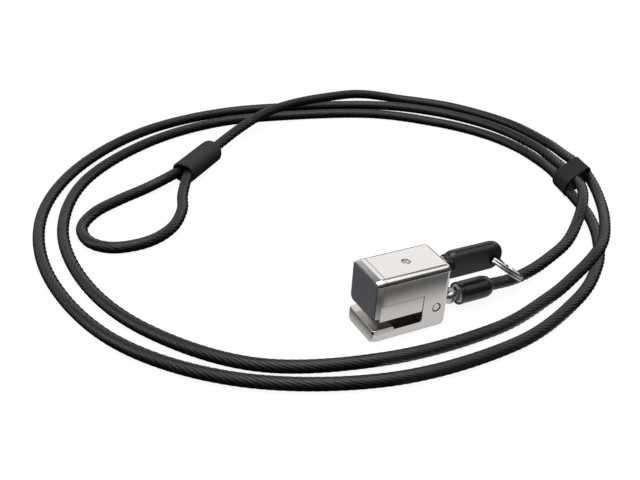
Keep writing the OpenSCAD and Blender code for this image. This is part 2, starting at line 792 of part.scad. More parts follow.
module cable_fitting() {
    color(steel) translate([0, 0, cord_z]) difference() {
        union() {
            rod_y(-tongue_w / 2, tongue_w / 2, tongue_r, x_knuckle, 0);
            translate([x_knuckle, -tongue_w / 2, -tongue_h / 2])
                cube([x_flange - x_knuckle + eps, tongue_w, tongue_h]);
            rod_x(x_flange, x_crimp, flange_r);
            rod_x(x_crimp - eps, x_crimp_end, crimp_r);
        }
        rod_y(-knuckle_r, knuckle_r, pivot_r + run_fit, x_knuckle, 0);
        rod_x(route[0][0], x_crimp_end + 1, cable_d / 2 + run_fit);
    }
}

// Outline of the boot from its axis outwards, along its length
module boot_outline() {
    square([boot_r, boot_l - boot_tip_r]);
    square([boot_r - boot_tip_r, boot_l]);
    translate([boot_r - boot_tip_r, boot_l - boot_tip_r]) circle(boot_tip_r);
}

module cable_boot() {
    color(satin_black) difference() {
        translate([x_boot, 0, cord_z]) rotate([0, 90, 0]) rotate_extrude() boot_outline();
        rod_x(x_boot - 1, x_crimp, flange_r, 0, cord_z);
        rod_x(x_boot, x_crimp_end, crimp_r, 0, cord_z);
        rod_x(x_boot, x_boot_end + 1, cable_d / 2 + run_fit, 0, cord_z);
    }
}

module cable() {
    color(vinyl) tube(smooth_route(route, ring_step), cable_d / 2, cable_sides);
}

// ---- Eye ----

module eye_loop() {
    color(vinyl) tube(smooth_route(eye_route, ring_step), cable_d / 2, cable_sides);
}

// Puts a piece in the cover's own directions: X along it, towards the eye
module at_cover() {
    translate(cover_pos) rotate([0, 0, 180 + cover_turn]) children();
}

// Oval of two cable holes side by side, wider by wall all round
module cable_pair(wall) {
    r = cable_d / 2 + run_fit + wall;
    for (side = [-1, 1]) translate([side * leg_y, eye_z]) circle(r);
    translate([0, eye_z]) square([2 * leg_y, 2 * r], center = true);
}

module eye_crimp() {
    color(steel) at_cover() difference() {
        along_x(crimp_x0, crimp_x1) cable_pair(sleeve_crimp_wall);
        along_x(-cover_l, cover_l) cable_pair(0);
    }
}

module eye_cover() {
    color(satin_black) at_cover() difference() {
        intersection() {
            along_x(-cover_l / 2, cover_l / 2)
                translate([0, cover_h / 2]) rounded_rect(cover_w, cover_h, cover_r);
            linear_extrude(cover_h) rounded_rect(cover_l, cover_w, cover_r);
            across_y(cover_w) translate([0, cover_h / 2]) rounded_rect(cover_l, cover_h, cover_nose_r);
        }
        along_x(cover_room_x, crimp_x1) cable_pair(sleeve_crimp_wall);
        along_x(crimp_x1 - eps, cover_l) cable_pair(0);
        along_x(cover_l / 2 - mouth_l, cover_l) translate([0, cover_h / 2])
            rounded_rect(cover_w - 2 * mouth_wall, cover_h - 2 * mouth_wall, cover_r - mouth_wall);
        rod_x(-cover_l, 0, cable_d / 2 + run_fit, 0, eye_z);
    }
}

// ---- Strap ----

// Oval ring of corners at share s of the strap's width, smaller by inset
function strap_corners(s, inset, n) =
    let (r = strap_h / 2 - inset,
         flat = strap_span / 2 - strap_h / 2,
         low = strap_h / 2 + flat * sin(strap_lean))
    [for (k = [0 : n - 1])
        let (a = 360 * (k + 0.5) / n,
             u = (cos(a) > 0 ? flat : -flat) + r * cos(a),
             w = r * sin(a),
             across = u * cos(strap_lean) - w * sin(strap_lean),
             rise = u * sin(strap_lean) + w * cos(strap_lean))
        [strap_pos[0] + across * cos(strap_across) + s * strap_w * cos(strap_along),
         strap_pos[1] + across * sin(strap_across) + s * strap_w * sin(strap_along),
         low + rise]];

module cable_strap() {
    n = 28;
    corners = concat(strap_corners(-0.5, 0, n), strap_corners(0.5, 0, n),
                     strap_corners(0.5, strap_t, n), strap_corners(-0.5, strap_t, n));
    faces = [for (band = [0 : 3], k = [0 : n - 1])
        let (a = band * n + k, b = band * n + (k + 1) % n,
             c = ((band + 1) % 4) * n + (k + 1) % n, d = ((band + 1) % 4) * n + k)
            each [[a, d, b], [b, d, c]]];
    color(webbing) polyhedron(corners, faces, convexity = 6);
}

housing();
foot_lip();
top_pin();
side_pin();
lock_barrel();
pin_block();
driver_pins();
pin_springs();
guide_screws();
return_springs();
jaw_slider();
push_pad();
rotor();
tumbler_pins();
tail_bar();
key_shank();
key_bow();
key_ring();
swivel_stud();
pivot_pin();
cable_fitting();
cable_boot();
cable();
eye_loop();
eye_crimp();
eye_cover();
cable_strap();
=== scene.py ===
"""Dresses a laptop cable lock: a clamping lock head on a swivel, its key, and a long cable with an eye."""

import json
import logging
import math
from dataclasses import dataclass
from enum import Enum

import bmesh
import bpy
import numpy as np
from mathutils import Matrix, Vector


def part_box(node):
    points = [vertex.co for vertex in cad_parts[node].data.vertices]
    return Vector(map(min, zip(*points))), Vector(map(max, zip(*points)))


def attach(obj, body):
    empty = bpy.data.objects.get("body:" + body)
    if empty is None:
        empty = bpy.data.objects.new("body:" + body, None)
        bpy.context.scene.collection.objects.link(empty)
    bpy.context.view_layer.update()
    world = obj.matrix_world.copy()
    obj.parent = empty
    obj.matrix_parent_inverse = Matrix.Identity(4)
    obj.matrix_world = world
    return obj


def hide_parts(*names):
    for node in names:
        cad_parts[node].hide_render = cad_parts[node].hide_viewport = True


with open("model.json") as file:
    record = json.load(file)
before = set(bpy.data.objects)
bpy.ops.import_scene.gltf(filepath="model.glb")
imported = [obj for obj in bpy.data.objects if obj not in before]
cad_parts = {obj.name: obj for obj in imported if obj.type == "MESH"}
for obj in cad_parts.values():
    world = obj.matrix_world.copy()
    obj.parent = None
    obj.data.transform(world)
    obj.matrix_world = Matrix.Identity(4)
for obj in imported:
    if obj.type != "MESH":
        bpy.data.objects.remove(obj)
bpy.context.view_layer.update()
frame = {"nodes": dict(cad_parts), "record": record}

MM = 0.001
TAU = 2 * math.pi
# Shared by the cable's shape and its finish
STRANDS = 10
# Axes along X of the key and of the swivel stud, as Y and Z in millimetres
KEY_AXIS = (0.0, 18.3)
STUD_AXIS = (0.0, 5.0)
# How far a cutter reaches past the face that it opens, and across from the middle of a piece
PAST = 1.0
REACH = 6.0
# What keeps a face just off another, the radius of a crisp corner, and how far joined parts lap
HAIR = 0.01
CRISP = 0.02
LAP = 0.1
# How deep under a surface faces are chosen for another finish
SKIN = 0.5
log = logging.getLogger("cable_lock")


# ---- Shader maths ----


class Value:
    """One number in a material. Arithmetic on it adds Math nodes."""

    def __init__(self, shader: "Shader", socket: bpy.types.NodeSocket | None) -> None:
        """Keeps the shader and the socket that the number comes from."""
        self.shader = shader
        self.socket = socket

    def _math(self, operation: str, *terms: "Value | float") -> "Value":
        """Adds one Math node.

        Args:
            operation: the Math node's operation.
            terms: its inputs in order.

        Returns:
            The node's result.
        """
        values = dict(enumerate(terms))
        return self.shader.node("ShaderNodeMath", {"operation": operation}, values)

    def __add__(self, other: "Value | float") -> "Value":
        """This number plus the other."""
        return self._math("ADD", self, other)

    def __radd__(self, other: float) -> "Value":
        """The other number plus this."""
        return self._math("ADD", other, self)

    def __sub__(self, other: "Value | float") -> "Value":
        """This number less the other."""
        return self._math("SUBTRACT", self, other)

    def __rsub__(self, other: float) -> "Value":
        """The other number less this."""
        return self._math("SUBTRACT", other, self)

    def __mul__(self, other: "Value | float") -> "Value":
        """This number times the other."""
        return self._math("MULTIPLY", self, other)

    def __rmul__(self, other: float) -> "Value":
        """The other number times this."""
        return self._math("MULTIPLY", other, self)

    def __pow__(self, power: float) -> "Value":
        """This number raised to a power."""
        return self._math("POWER", self, power)

    def wave(self) -> "Value":
        """The sine of this number."""
        return self._math("SINE", self)

    def size(self) -> "Value":
        """This number without its sign."""
        return self._math("ABSOLUTE", self)

    def step(self, low: float, high: float) -> "Value":
        """Smooth rise from 0 at low to 1 at high."""
        settings = {"interpolation_type": "SMOOTHSTEP"}
        return self.shader.node("ShaderNodeMapRange", settings, {"Value": self, 1: low, 2: high})


class Shader:
    """A node tree that is filled in by calls."""

    def __init__(self, tree: bpy.types.NodeTree) -> None:
        """Takes over an empty tree."""
        self.tree = tree
        tree.nodes.clear()

    def node(self, kind: str, settings: dict | None = None, values: dict | None = None) -> Value:
        """Adds any node.

        Args:
            kind: the node's type.
            settings: its attributes, set first.
            values: numbers, colours or links, by socket name or number.

        Returns:
            The node's first output.
        """
        made = self.tree.nodes.new(kind)
        for name, setting in (settings or {}).items():
            setattr(made, name, setting)
        for name, value in (values or {}).items():
            if isinstance(value, Value):
                self.tree.links.new(value.socket, made.inputs[name])
            else:
                made.inputs[name].default_value = value
        return Value(self, made.outputs[0] if len(made.outputs) else None)

    def output(self, value: Value, name: str | int) -> Value:
        """Another output of the node that a value comes from, by name or number."""
        return Value(self, value.socket.node.outputs[name])

    def coordinates(self, kind: str) -> Value:
        """One of the Texture Coordinate node's outputs."""
        return self.output(self.node("ShaderNodeTexCoord"), kind)

    def object_point(self, scale: tuple[float, float, float]) -> Value:
        """Object coordinates in millimetres times a scale on each axis.

        Args:
            scale: how often a pattern repeats per millimetre on X, Y and Z.

        Returns:
            The scaled point.
        """
        values = {"Vector": self.coordinates("Object"), "Scale": tuple(s / MM for s in scale)}
        return self.node("ShaderNodeMapping", None, values)

    def axes(self, point: Value) -> tuple[Value, Value, Value]:
        """A point's three numbers."""
        split = self.node("ShaderNodeSeparateXYZ", None, {0: point})
        return self.output(split, "X"), self.output(split, "Y"), self.output(split, "Z")

    def rays(self) -> tuple[Value, Value, Value]:
        """Whether a ray comes from the camera, from a reflection, or through something clear."""
        path = self.node("ShaderNodeLightPath")
        kinds = ("Is Camera Ray", "Is Glossy Ray", "Is Transmission Ray")
        return tuple(self.output(path, kind) for kind in kinds)

    def noise(self, rate: float | tuple, detail: float, rough: float) -> Value:
        """Noise from 0 to 1 on Object coordinates.

        Args:
            rate: repeats per millimetre, on all axes or on each.
            detail: how many finer layers it has.
            rough: how strong the finer layers are.

        Returns:
            The noise.
        """
        point = self.object_point(rate if isinstance(rate, tuple) else (rate,) * 3)
        values = {"Vector": point, "Scale": 1.0, "Detail": detail, "Roughness": rough}
        return self.node("ShaderNodeTexNoise", {"normalize": True}, values)

    def tint(self, amount: Value | float, low: tuple, high: tuple) -> Value:
        """Colour between two others.

        Args:
            amount: 0 for the low colour, 1 for the high one.
            low: red, green and blue at 0.
            high: red, green and blue at 1.

        Returns:
            The colour.
        """
        mix = self.node("ShaderNodeMix", {"data_type": "RGBA", "clamp_factor": True},
                        {0: amount, 6: (*low, 1), 7: (*high, 1)})
        return self.output(mix, 2)

    def relief(self, height: Value, depth: float, strength: float, edge: float = 0.0) -> Value:
        """A normal that follows a height.

        Args:
            height: from 0 to 1.
            depth: the millimetres between a height of 0 and one of 1.
            strength: the share of the relief that shows.
            edge: the radius in millimetres that edges are shaded with, or 0 for none.

        Returns:
            The normal.
        """
        values = {"Strength": strength, "Distance": depth * MM, "Height": height}
        if edge:
            values["Normal"] = self.node("ShaderNodeBevel", {"samples": 6}, {"Radius": edge * MM})
        return self.node("ShaderNodeBump", None, values)

    def surface(self, fixed: dict, varying: dict) -> None:
        """Ends the material in one Principled shader.

        Args:
            fixed: numbers that are the same all over.
            varying: links to Base Color, Roughness or Normal.
        """
        shader = self.node("ShaderNodeBsdfPrincipled", None, {**fixed, **varying})
        self.node("ShaderNodeOutputMaterial", None, {"Surface": shader})


class Grain(Enum):
    """The way that the fine scratches of a metal run, as repeats per millimetre."""

    LENGTHWAYS = (0.35, 9.0, 9.0)
    UPRIGHT = (9.0, 9.0, 0.35)
    TURNED = (12.0, 0.6, 0.6)
    NONE = (3.0, 3.0, 3.0)


@dataclass(frozen=True)
class Finish:
    """What every finish shares: a name, and the one material of that name."""

    name: str

    def paint(self, shader: Shader) -> None:
        """Fills in the material's nodes."""
        raise NotImplementedError

    def material(self) -> bpy.types.Material:
        """The material of this name: the pack's own where it has one, or else painted once."""
        made = bpy.data.materials.get(self.name)
        if made is None:
            made = bpy.data.materials.new(self.name)
            made.use_nodes = True
            self.paint(Shader(made.node_tree))
        return made

    def dress(self, piece: bpy.types.Object) -> None:
        """Puts the material on all of a piece's slots."""
        material = self.material()
        if not piece.material_slots:
            piece.data.materials.append(material)
        for slot in piece.material_slots:
            slot.material = material


@dataclass(frozen=True)
class Metal(Finish):
    """Bare or plated metal with fine scratches and soft edges. Sizes are in millimetres."""

    colour: tuple[float, float, float]
    roughness: float = 0.28
    grain: Grain = Grain.LENGTHWAYS
    scratch: float = 0.01
    edge: float = 0.12
    mottle: float = 0.03
    mottle_rate: float = 0.25
    strength: float = 0.12

    def paint(self, shader: Shader) -> None:
        """Scratches from stretched noise, mottling from wide noise, and rounded edge normals."""
        fine = shader.noise(self.grain.value, 4, 0.6)
        wide = shader.noise(self.mottle_rate, 2, 0.5)
        dark = tuple(c * (1 - self.mottle) for c in self.colour)
        light = tuple(min(1, c * (1 + self.mottle)) for c in self.colour)
        shader.surface({"Metallic": 1.0}, {
            "Base Color": shader.tint(0.4 * wide + 0.6 * fine, dark, light),
            "Roughness": self.roughness + 0.06 * (fine - 0.5) + 0.04 * (wide - 0.5),
            "Normal": shader.relief(fine, self.scratch, self.strength, self.edge)})


@dataclass(frozen=True)
class Moulded(Finish):
    """Moulded plastic or rubber with a fine pebbled grain. Sizes are in millimetres."""

    colour: tuple[float, float, float]
    roughness: float
    pebble: float
    pebble_rate: float
    edge: float = 0.12
    specular: float = 0.5
    mark_rate: float = 0.18
    mark: float = 1.5
    haze: float = 0.001
    strength: float = 0.5

    def paint(self, shader: Shader) -> None:
        """Pebbles from fine noise, faint handling marks from wide noise."""
        fine = shader.noise(self.pebble_rate, 2, 0.5)
        wide = shader.noise(self.mark_rate, 3, 0.6)
        marked = tuple(c * self.mark + self.haze for c in self.colour)
        shader.surface({"Specular IOR Level": self.specular}, {
            "Base Color": shader.tint(wide, self.colour, marked),
            "Roughness": self.roughness + 0.14 * (wide - 0.5) + 0.06 * (fine - 0.5),
            "Normal": shader.relief(fine, self.pebble, self.strength, self.edge)})


@dataclass(frozen=True)
class Jacket(Finish):
    """Thin black vinyl drawn over twisted wire strands. Sizes are in millimetres."""

    colour: tuple[float, float, float] = (0.0006, 0.0006, 0.0006)
    # Colour at the strands' crowns: partly wear, partly a painted highlight
    crown_highlight_and_wear: tuple[float, float, float] = (0.013, 0.013, 0.0134)
    roughness: float = 0.32
    wires: int = 3
    wear_rate: float = 0.12
    dust_rate: float = 3.0
    depth: float = 0.25
    strength: float = 0.9
    specular: float = 0.30
    coat: float = 0.30
    coat_roughness: float = 0.18

    def paint(self, shader: Shader) -> None:
        """Strands and the single wires in them as waves round the cable; the crowns are painted lighter,
        partly as wear and partly as a painted highlight.

        The height is mostly the size of a sine with one swing for each strand.
        """
        across, _, _ = shader.axes(shader.coordinates("UV"))
        wires = (across * (TAU * STRANDS * self.wires)).wave() * 0.5 + 0.5
        crown = (across * (TAU * STRANDS / 2)).wave().size()
        wide = shader.noise(self.wear_rate, 3, 0.6)
        fine = shader.noise(self.dust_rate, 2, 0.5)
        rough = self.roughness + 0.10 * (wide - 0.5) + 0.05 * (fine - 0.5) + 0.04 * (1 - crown)
        coat = {"Coat Weight": self.coat, "Coat Roughness": self.coat_roughness, "Coat IOR": 1.5}
        shader.surface({"Specular IOR Level": self.specular, **coat}, {
            # Crowns painted lighter, partly as wear and partly as a painted highlight
            "Base Color": shader.tint(crown * (0.35 + 0.65 * wide), self.colour, self.crown_highlight_and_wear),
            "Roughness": rough,
            "Normal": shader.relief(crown * 0.85 + wires * 0.05 + fine * 0.1, self.depth, self.strength)})


@dataclass(frozen=True)
class Webbing(Finish):
    """Black hook-and-loop tape: a tight twill of fine threads. Sizes are in millimetres."""

    colour: tuple[float, float, float] = (0.004, 0.004, 0.0043)
    thread: tuple[float, float, float] = (0.030, 0.030, 0.031)
    pitch: float = 0.6
    roughness: float = 0.78
    fuzz_rate: float = 2.2
    depth: float = 0.07
    strength: float = 0.8

    def paint(self, shader: Shader) -> None:
        """Twill from the product of two waves, one across the tape and one aslant along it."""
        along, across, _ = shader.axes(shader.coordinates("UV"))
        warp = (across * (TAU / self.pitch)).wave()
        weft = ((along + across * 0.5) * (TAU / self.pitch)).wave()
        weave = (warp * weft) * 0.5 + 0.5
        fuzz = shader.noise(self.fuzz_rate, 4, 0.65)
        shader.surface({"Sheen Weight": 0.25, "Sheen Roughness": 0.4}, {
            "Base Color": shader.tint(weave * 0.6 + fuzz * 0.4, self.colour, self.thread),
            "Roughness": self.roughness + 0.15 * (fuzz - 0.5),
            "Normal": shader.relief(weave * 0.7 + fuzz * 0.3, self.depth, self.strength)})


# The pack brings plain materials named pin_steel, key_black, boot_black, cover_black and
# strap_black, and those show in place of the finishes that have their names here
NICKEL = Metal("satin_nickel", (0.86, 0.83, 0.805), 0.17)
# A darker copy of the nickel: a painted dark reflection down the cap's upright front edges, and painted
# shade round the top pin
PAINTED_SHADE_NICKEL = Metal("satin_nickel_painted_shade", (0.52, 0.503, 0.49), 0.22, Grain.UPRIGHT)
CAP_NICKEL = Metal("satin_nickel_cap", (0.86, 0.83, 0.805), 0.17, Grain.UPRIGHT)
LIP_NICKEL = Metal("satin_nickel_lip", (0.68, 0.655, 0.635), 0.18)
PIN_STEEL = Metal("pin_steel", (0.60, 0.585, 0.57), 0.26, Grain.TURNED)
BRIGHT_STEEL = Metal("bright_steel", (0.70, 0.68, 0.66), 0.13, Grain.TURNED, scratch=0.008)
# Dark steel as painted shade: inside the slot, round the side pin and under the jaw, and as a painted
# contact shadow along the head's lower side edges
PAINTED_SHADE_STEEL = Metal("painted_shade_steel", (0.10, 0.092, 0.086), 0.30, scratch=0.008)
DARK_STEEL = Metal("dark_steel", (0.34, 0.325, 0.315), 0.20, Grain.TURNED, scratch=0.008)
BRASS = Metal("turned_brass", (0.72, 0.55, 0.26), 0.28, Grain.TURNED)
ALUMINIUM = Metal("pressed_aluminium", (0.70, 0.70, 0.71), 0.34, Grain.NONE)
SLATE = Moulded("slate_insert", (0.132, 0.136, 0.150), 0.50, 0.012, 5.0, edge=0.2)
KEY_BLACK = Moulded("key_black", (0.003, 0.003, 0.0031), 0.30, 0.010, 4.0, specular=0.30)
BOOT_BLACK = Moulded("boot_black", (0.0012, 0.0012, 0.0012), 0.12, 0.002, 2.0, edge=0.1)
COVER_BLACK = Moulded("cover_black", (0.0015, 0.0015, 0.0016), 0.16, 0.008, 4.0, specular=0.75)
VINYL = Jacket("vinyl_jacket")
STRAP_BLACK = Webbing("strap_black")


# ---- Shapes ----


def unit(vectors: np.ndarray) -> np.ndarray:
    """Each vector divided by its own length."""
    return vectors / np.linalg.norm(vectors, axis=-1, keepdims=True)


def distances(points: np.ndarray) -> np.ndarray:
    """The way along a line up to each of its points."""
    return np.concatenate([[0], np.cumsum(np.linalg.norm(np.diff(points, axis=0), axis=1))])


def eased(share: np.ndarray) -> np.ndarray:
    """A rise from 0 to 1 that starts and ends level: three squares less two cubes."""
    return share**2 * (3 - 2 * share)


def smooth_curve(points: np.ndarray, step: float, in_a_span: int = 40) -> np.ndarray:
    """Even points on a smooth curve through the given ones.

    Each span is a Catmull-Rom cubic, whose slope at a point is half the way between its neighbours.

    Args:
        points: the points to pass through.
        step: the distance between the points that come back.
        in_a_span: the cubic's own points in each span.

    Returns:
        The even points, one a row.
    """
    ends = np.vstack([2 * points[0] - points[1], points, 2 * points[-1] - points[-2]])
    a, b, c, d = (ends[i : len(ends) - 3 + i, None, :] for i in range(4))
    t = np.linspace(0, 1, in_a_span, endpoint=False)[None, :, None]
    fine = 0.5 * (2 * b + (c - a) * t + (2 * a - 5 * b + 4 * c - d) * t**2
                  + (3 * b - a - 3 * c + d) * t**3)
    fine = np.vstack([fine.reshape(-1, 3), points[-1:]])
    run = distances(fine)
    stops = np.linspace(0, run[-1], int(run[-1] / step) + 1)
    return np.stack([np.interp(stops, run, fine[:, k]) for k in range(3)], axis=1)


def grid_faces(rows: int, columns: int, close_rows: bool, close_columns: bool) -> np.ndarray:
    """Four corners for each cell of a grid of points.

    Args:
        rows: points along the first direction.
        columns: points along the second one.
        close_rows: whether the last row joins the first.
        close_columns: whether the last column joins the first.

    Returns:
        One face a row, as point numbers.
    """
    i = np.arange(rows if close_rows else rows - 1)[:, None]
    j = np.arange(columns if close_columns else columns - 1)[None, :]
    i_next, j_next = (i + 1) % rows, (j + 1) % columns
    corners = (i * columns + j, i_next * columns + j, i_next * columns + j_next, i * columns + j_next)
    return np.stack([np.broadcast_to(c, (i.size, j.size)) for c in corners], axis=-1).reshape(-1, 4)


def tube_faces(rows: int, columns: int) -> list:
    """Faces of a tube of rings, with one flat face at each end, all turned the same way."""
    last = (rows - 1) * columns
    ends = [list(range(columns))[::-1], list(range(last, last + columns))]
    return grid_faces(rows, columns, False, True).tolist() + ends


def linked(name: str, data: bpy.types.ID) -> bpy.types.Object:
    """A new object in the scene, from a mesh, a lamp or a camera."""
    made = bpy.data.objects.new(name, data)
    bpy.context.scene.collection.objects.link(made)
    return made


def add_piece(name: str, points: np.ndarray, faces: list, uv: np.ndarray | None = None,
              crease: float = 40) -> bpy.types.Object:
    """Makes a mesh object from points and faces.

    Args:
        name: the piece's name.
        points: corners in metres, one a row.
        faces: lists of corner numbers.
        uv: a place on the piece's own map for each corner.
        crease: the angle in degrees over which an edge stays sharp.

    Returns:
        The new object.
    """
    mesh = bpy.data.meshes.new(name)
    mesh.from_pydata(points.tolist(), [], faces)
    if uv is not None:
        layer = mesh.uv_layers.new(name="own")
        corner = np.empty(len(mesh.loops), dtype=np.int32)
        mesh.loops.foreach_get("vertex_index", corner)
        layer.data.foreach_set("uv", uv[corner].ravel().astype(np.float32))
    mesh.update()
    mesh.shade_smooth()
    mesh.set_sharp_from_angle(angle=math.radians(crease))
    return linked(name, mesh)


@dataclass(frozen=True)
class Outline:
    """A closed outline in millimetres, with the outward direction at each point."""

    points: np.ndarray
    outward: np.ndarray

    @staticmethod
    def block(low: tuple, high: tuple, radii: tuple, steps: int = 12) -> "Outline":
        """A rectangle with round corners.

        Each corner is a quarter circle of points, at the corner's centre plus the radius times the
        cosine and sine of the angle, from the lower right corner anticlockwise.

        Args:
            low: the least of the two coordinates.
            high: the greatest of the two coordinates.
            radii: the lower right, upper right, upper left and lower left radius.
            steps: points in each corner.

        Returns:
            The outline.
        """
        radius = np.array(radii)[:, None, None]
        right, top = np.array([1, 1, 0, 0], bool), np.array([0, 1, 1, 0], bool)
        corner = np.stack([np.where(right, high[0], low[0]), np.where(top, high[1], low[1])], axis=1)
        inward = np.stack([np.where(right, -1, 1), np.where(top, -1, 1)], axis=1)
        turn = np.radians(np.linspace(0, 90, steps)[None, :] + np.array([-90, 0, 90, 180])[:, None])
        outward = np.stack([np.cos(turn), np.sin(turn)], axis=-1)
        points = corner[:, None] + radius * inward[:, None] + radius * outward
        return Outline(points.reshape(-1, 2), outward.reshape(-1, 2))


class Along(Enum):
    """The axis that an outline is carried along, and the two axes that it is drawn on."""

    X = ((1, 0, 0), (0, 1, 0), (0, 0, 1))
    Y = ((0, 1, 0), (1, 0, 0), (0, 0, 1))
    Z = ((0, 0, 1), (1, 0, 0), (0, 1, 0))


def quarter(at: float, radius: float, towards: int, steps: int = 7) -> np.ndarray:
    """Rows that round one end of a carried outline.

    The row at angle a lies at the end plus the radius times 1 less cos a, and its inset is the
    radius times 1 less sin a, so the rows are a quarter circle that starts flat on the end.

    Args:
        at: the end's place on the axis.
        radius: the round's radius.
        towards: 1 where the piece lies beyond the end, -1 where it lies before it.
        steps: rows in the round.

    Returns:
        Rows of place, inset on the first axis and inset on the second, from low to high.
    """
    angle = np.radians(np.linspace(0, 90, steps))
    inset = radius * (1 - np.sin(angle))
    rows = np.stack([at + towards * radius * (1 - np.cos(angle)), inset, inset], axis=1)
    return rows[::towards]


def ends_rounded(low: float, high: float, low_r: float, high_r: float) -> np.ndarray:
    """Rows from low to high with both ends rounded."""
    return np.vstack([quarter(low, low_r, 1), quarter(high, high_r, -1)])


def carried(outline: Outline, rows: np.ndarray, along: Along) -> tuple[np.ndarray, list]:
    """Carries an outline along an axis, drawn in by an inset at each row, and closes both ends.

    A point lies at the row's place on the axis, plus the outline's point less the row's two insets
    times the two parts of the outward direction.

    Args:
        outline: the closed outline.
        rows: place on the axis, inset on the first axis and inset on the second one.
        along: the axis.

    Returns:
        The points in millimetres and the faces.
    """
    axis, first, second = np.array(along.value, float)
    flat = outline.points[None] - rows[:, None, 1:3] * outline.outward[None]
    points = rows[:, None, :1] * axis + flat[..., :1] * first + flat[..., 1:] * second
    return points.reshape(-1, 3), tube_faces(len(rows), len(outline.points))


def prism(outline: Outline, low: float, high: float, along: Along) -> tuple[np.ndarray, list]:
    """Carries an outline straight from low to high."""
    return carried(outline, np.array([[low, 0, 0], [high, 0, 0]]), along)


def turned(profile: np.ndarray, centre: tuple, along: Along = Along.X, around: int = 72
           ) -> tuple[np.ndarray, list]:
    """Turns a profile about an axis. It is closed, or starts and ends on the axis.

    Each ring holds the profile's distance along the axis, and its radius times the cosine and sine
    of the angle round it.

    Args:
        profile: rows of distance along the axis and radius.
        centre: the two fixed coordinates of the axis.
        along: the axis.
        around: points in each ring.

    Returns:
        The points in millimetres and the faces.
    """
    axis, first, second = np.array(along.value, float)
    angle = TAU * np.arange(around) / around
    out_first = centre[0] + profile[:, 1:2] * np.cos(angle)
    out_second = centre[1] + profile[:, 1:2] * np.sin(angle)
    points = profile[:, :1, None] * axis + out_first[..., None] * first + out_second[..., None] * second
    closed = profile[0, 1] > 0
    return points.reshape(-1, 3), grid_faces(len(profile), around, closed, True).tolist()


def rod(low: float, high: float, radius: float, centre: tuple, along: Along = Along.X
        ) -> tuple[np.ndarray, list]:
    """A plain round bar, as a drill."""
    profile = [[low, 0], [low, radius], [high, radius], [high, 0]]
    return turned(np.array(profile), centre, along, 64)


def chamfered(low: float, high: float, radius: float, chamfer: float, centre: tuple
              ) -> tuple[np.ndarray, list]:
    """A round bar along Y with its edges cut at 45 degrees."""
    end_r = radius - chamfer
    profile = [[low, 0], [low, end_r], [low + chamfer, radius], [high - chamfer, radius], [high, end_r],
               [high, 0]]
    return turned(np.array(profile), centre, Along.Y, 64)


def stepped(start: float, steps: tuple, centre: tuple) -> tuple[np.ndarray, list]:
    """A drill along X in steps.

    Args:
        start: where it starts.
        steps: each step's radius and where it ends.
        centre: the axis, as Y and Z.

    Returns:
        The points in millimetres and the faces.
    """
    ends = [start, *(end for _, end in steps)]
    sides = [[x, radius] for (radius, end), low in zip(steps, ends) for x in (low, end)]
    return turned(np.array([[start, 0], *sides, [ends[-1], 0]]), centre)


def brick(low: tuple, high: tuple) -> tuple[np.ndarray, list]:
    """A block as a cutter, with its upright edges just broken."""
    return prism(Outline.block(low[:2], high[:2], (CRISP,) * 4, 2), low[2], high[2], Along.Z)


def solid(name: str, shape: tuple[np.ndarray, list]) -> bpy.types.Object:
    """Makes a closed mesh object from a shape in millimetres.

    Points that meet on an axis are joined, and the faces are turned outwards.

    Args:
        name: the object's name.
        shape: the points and the faces.

    Returns:
        The object.
    """
    points, faces = shape
    piece = add_piece(name, points * MM, faces)
    work = bmesh.new()
    work.from_mesh(piece.data)
    bmesh.ops.remove_doubles(work, verts=work.verts, dist=1e-7)
    bmesh.ops.dissolve_degenerate(work, edges=work.edges, dist=1e-8)
    bmesh.ops.recalc_face_normals(work, faces=work.faces)
    work.to_mesh(piece.data)
    work.free()
    return piece


def settle(piece: bpy.types.Object) -> None:
    """Puts the result of a piece's modifiers into its mesh."""
    ready = piece.evaluated_get(bpy.context.evaluated_depsgraph_get())
    mesh = bpy.data.meshes.new_from_object(ready)
    old = piece.data
    piece.modifiers.clear()
    piece.data = mesh
    bpy.data.meshes.remove(old)
    mesh.name = piece.name


def cut(piece: bpy.types.Object, *shapes: tuple[np.ndarray, list]) -> None:
    """Takes shapes away from a piece, one after another."""
    drills = [solid(f"{piece.name}_cut_{number}", shape) for number, shape in enumerate(shapes)]
    for drill in drills:
        hole = piece.modifiers.new(drill.name, "BOOLEAN")
        hole.operation = "DIFFERENCE"
        hole.solver = "EXACT"
        hole.object = drill
    settle(piece)
    for drill in drills:
        bpy.data.meshes.remove(drill.data)


def add(piece: bpy.types.Object, *others: bpy.types.Object) -> None:
    """Takes other meshes into a piece, which they touch."""
    work = bmesh.new()
    for part in (piece, *others):
        work.from_mesh(part.data)
    work.to_mesh(piece.data)
    work.free()
    for other in others:
        bpy.data.meshes.remove(other.data)


def line_faces(piece: bpy.types.Object, low: tuple, high: tuple, finish: Finish) -> None:
    """Gives another finish to the faces whose middles lie in a box in millimetres."""
    mesh = piece.data
    count = len(mesh.polygons)
    middle = np.empty(count * 3, dtype=np.float32)
    mesh.polygons.foreach_get("center", middle)
    middle = middle.reshape(-1, 3) / MM
    inside = ((middle > low) & (middle < high)).all(axis=1)
    mesh.materials.append(finish.material())
    chosen = np.zeros(count, dtype=np.int32)
    mesh.polygons.foreach_get("material_index", chosen)
    mesh.polygons.foreach_set("material_index", np.where(inside, len(mesh.materials) - 1, chosen))
    mesh.update()


def enter(piece: bpy.types.Object, finish: Finish, nodes: tuple, note: str
          ) -> bpy.types.Object:
    """Gives a piece its finish and its place among the CAD nodes, and logs it.

    Args:
        piece: the piece.
        finish: its finish.
        nodes: the CAD nodes that it stands for, which all ride on one body.
        note: words for the log.

    Returns:
        The piece.
    """
    finish.dress(piece)
    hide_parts(*nodes)
    bodies = frame["record"]["behaviour"]["bodies"]
    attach(piece, next(body for body, parts in bodies.items() if nodes[0] in parts))
    log.info("%s: %s, %d faces", piece.name, note, len(piece.data.polygons))
    return piece


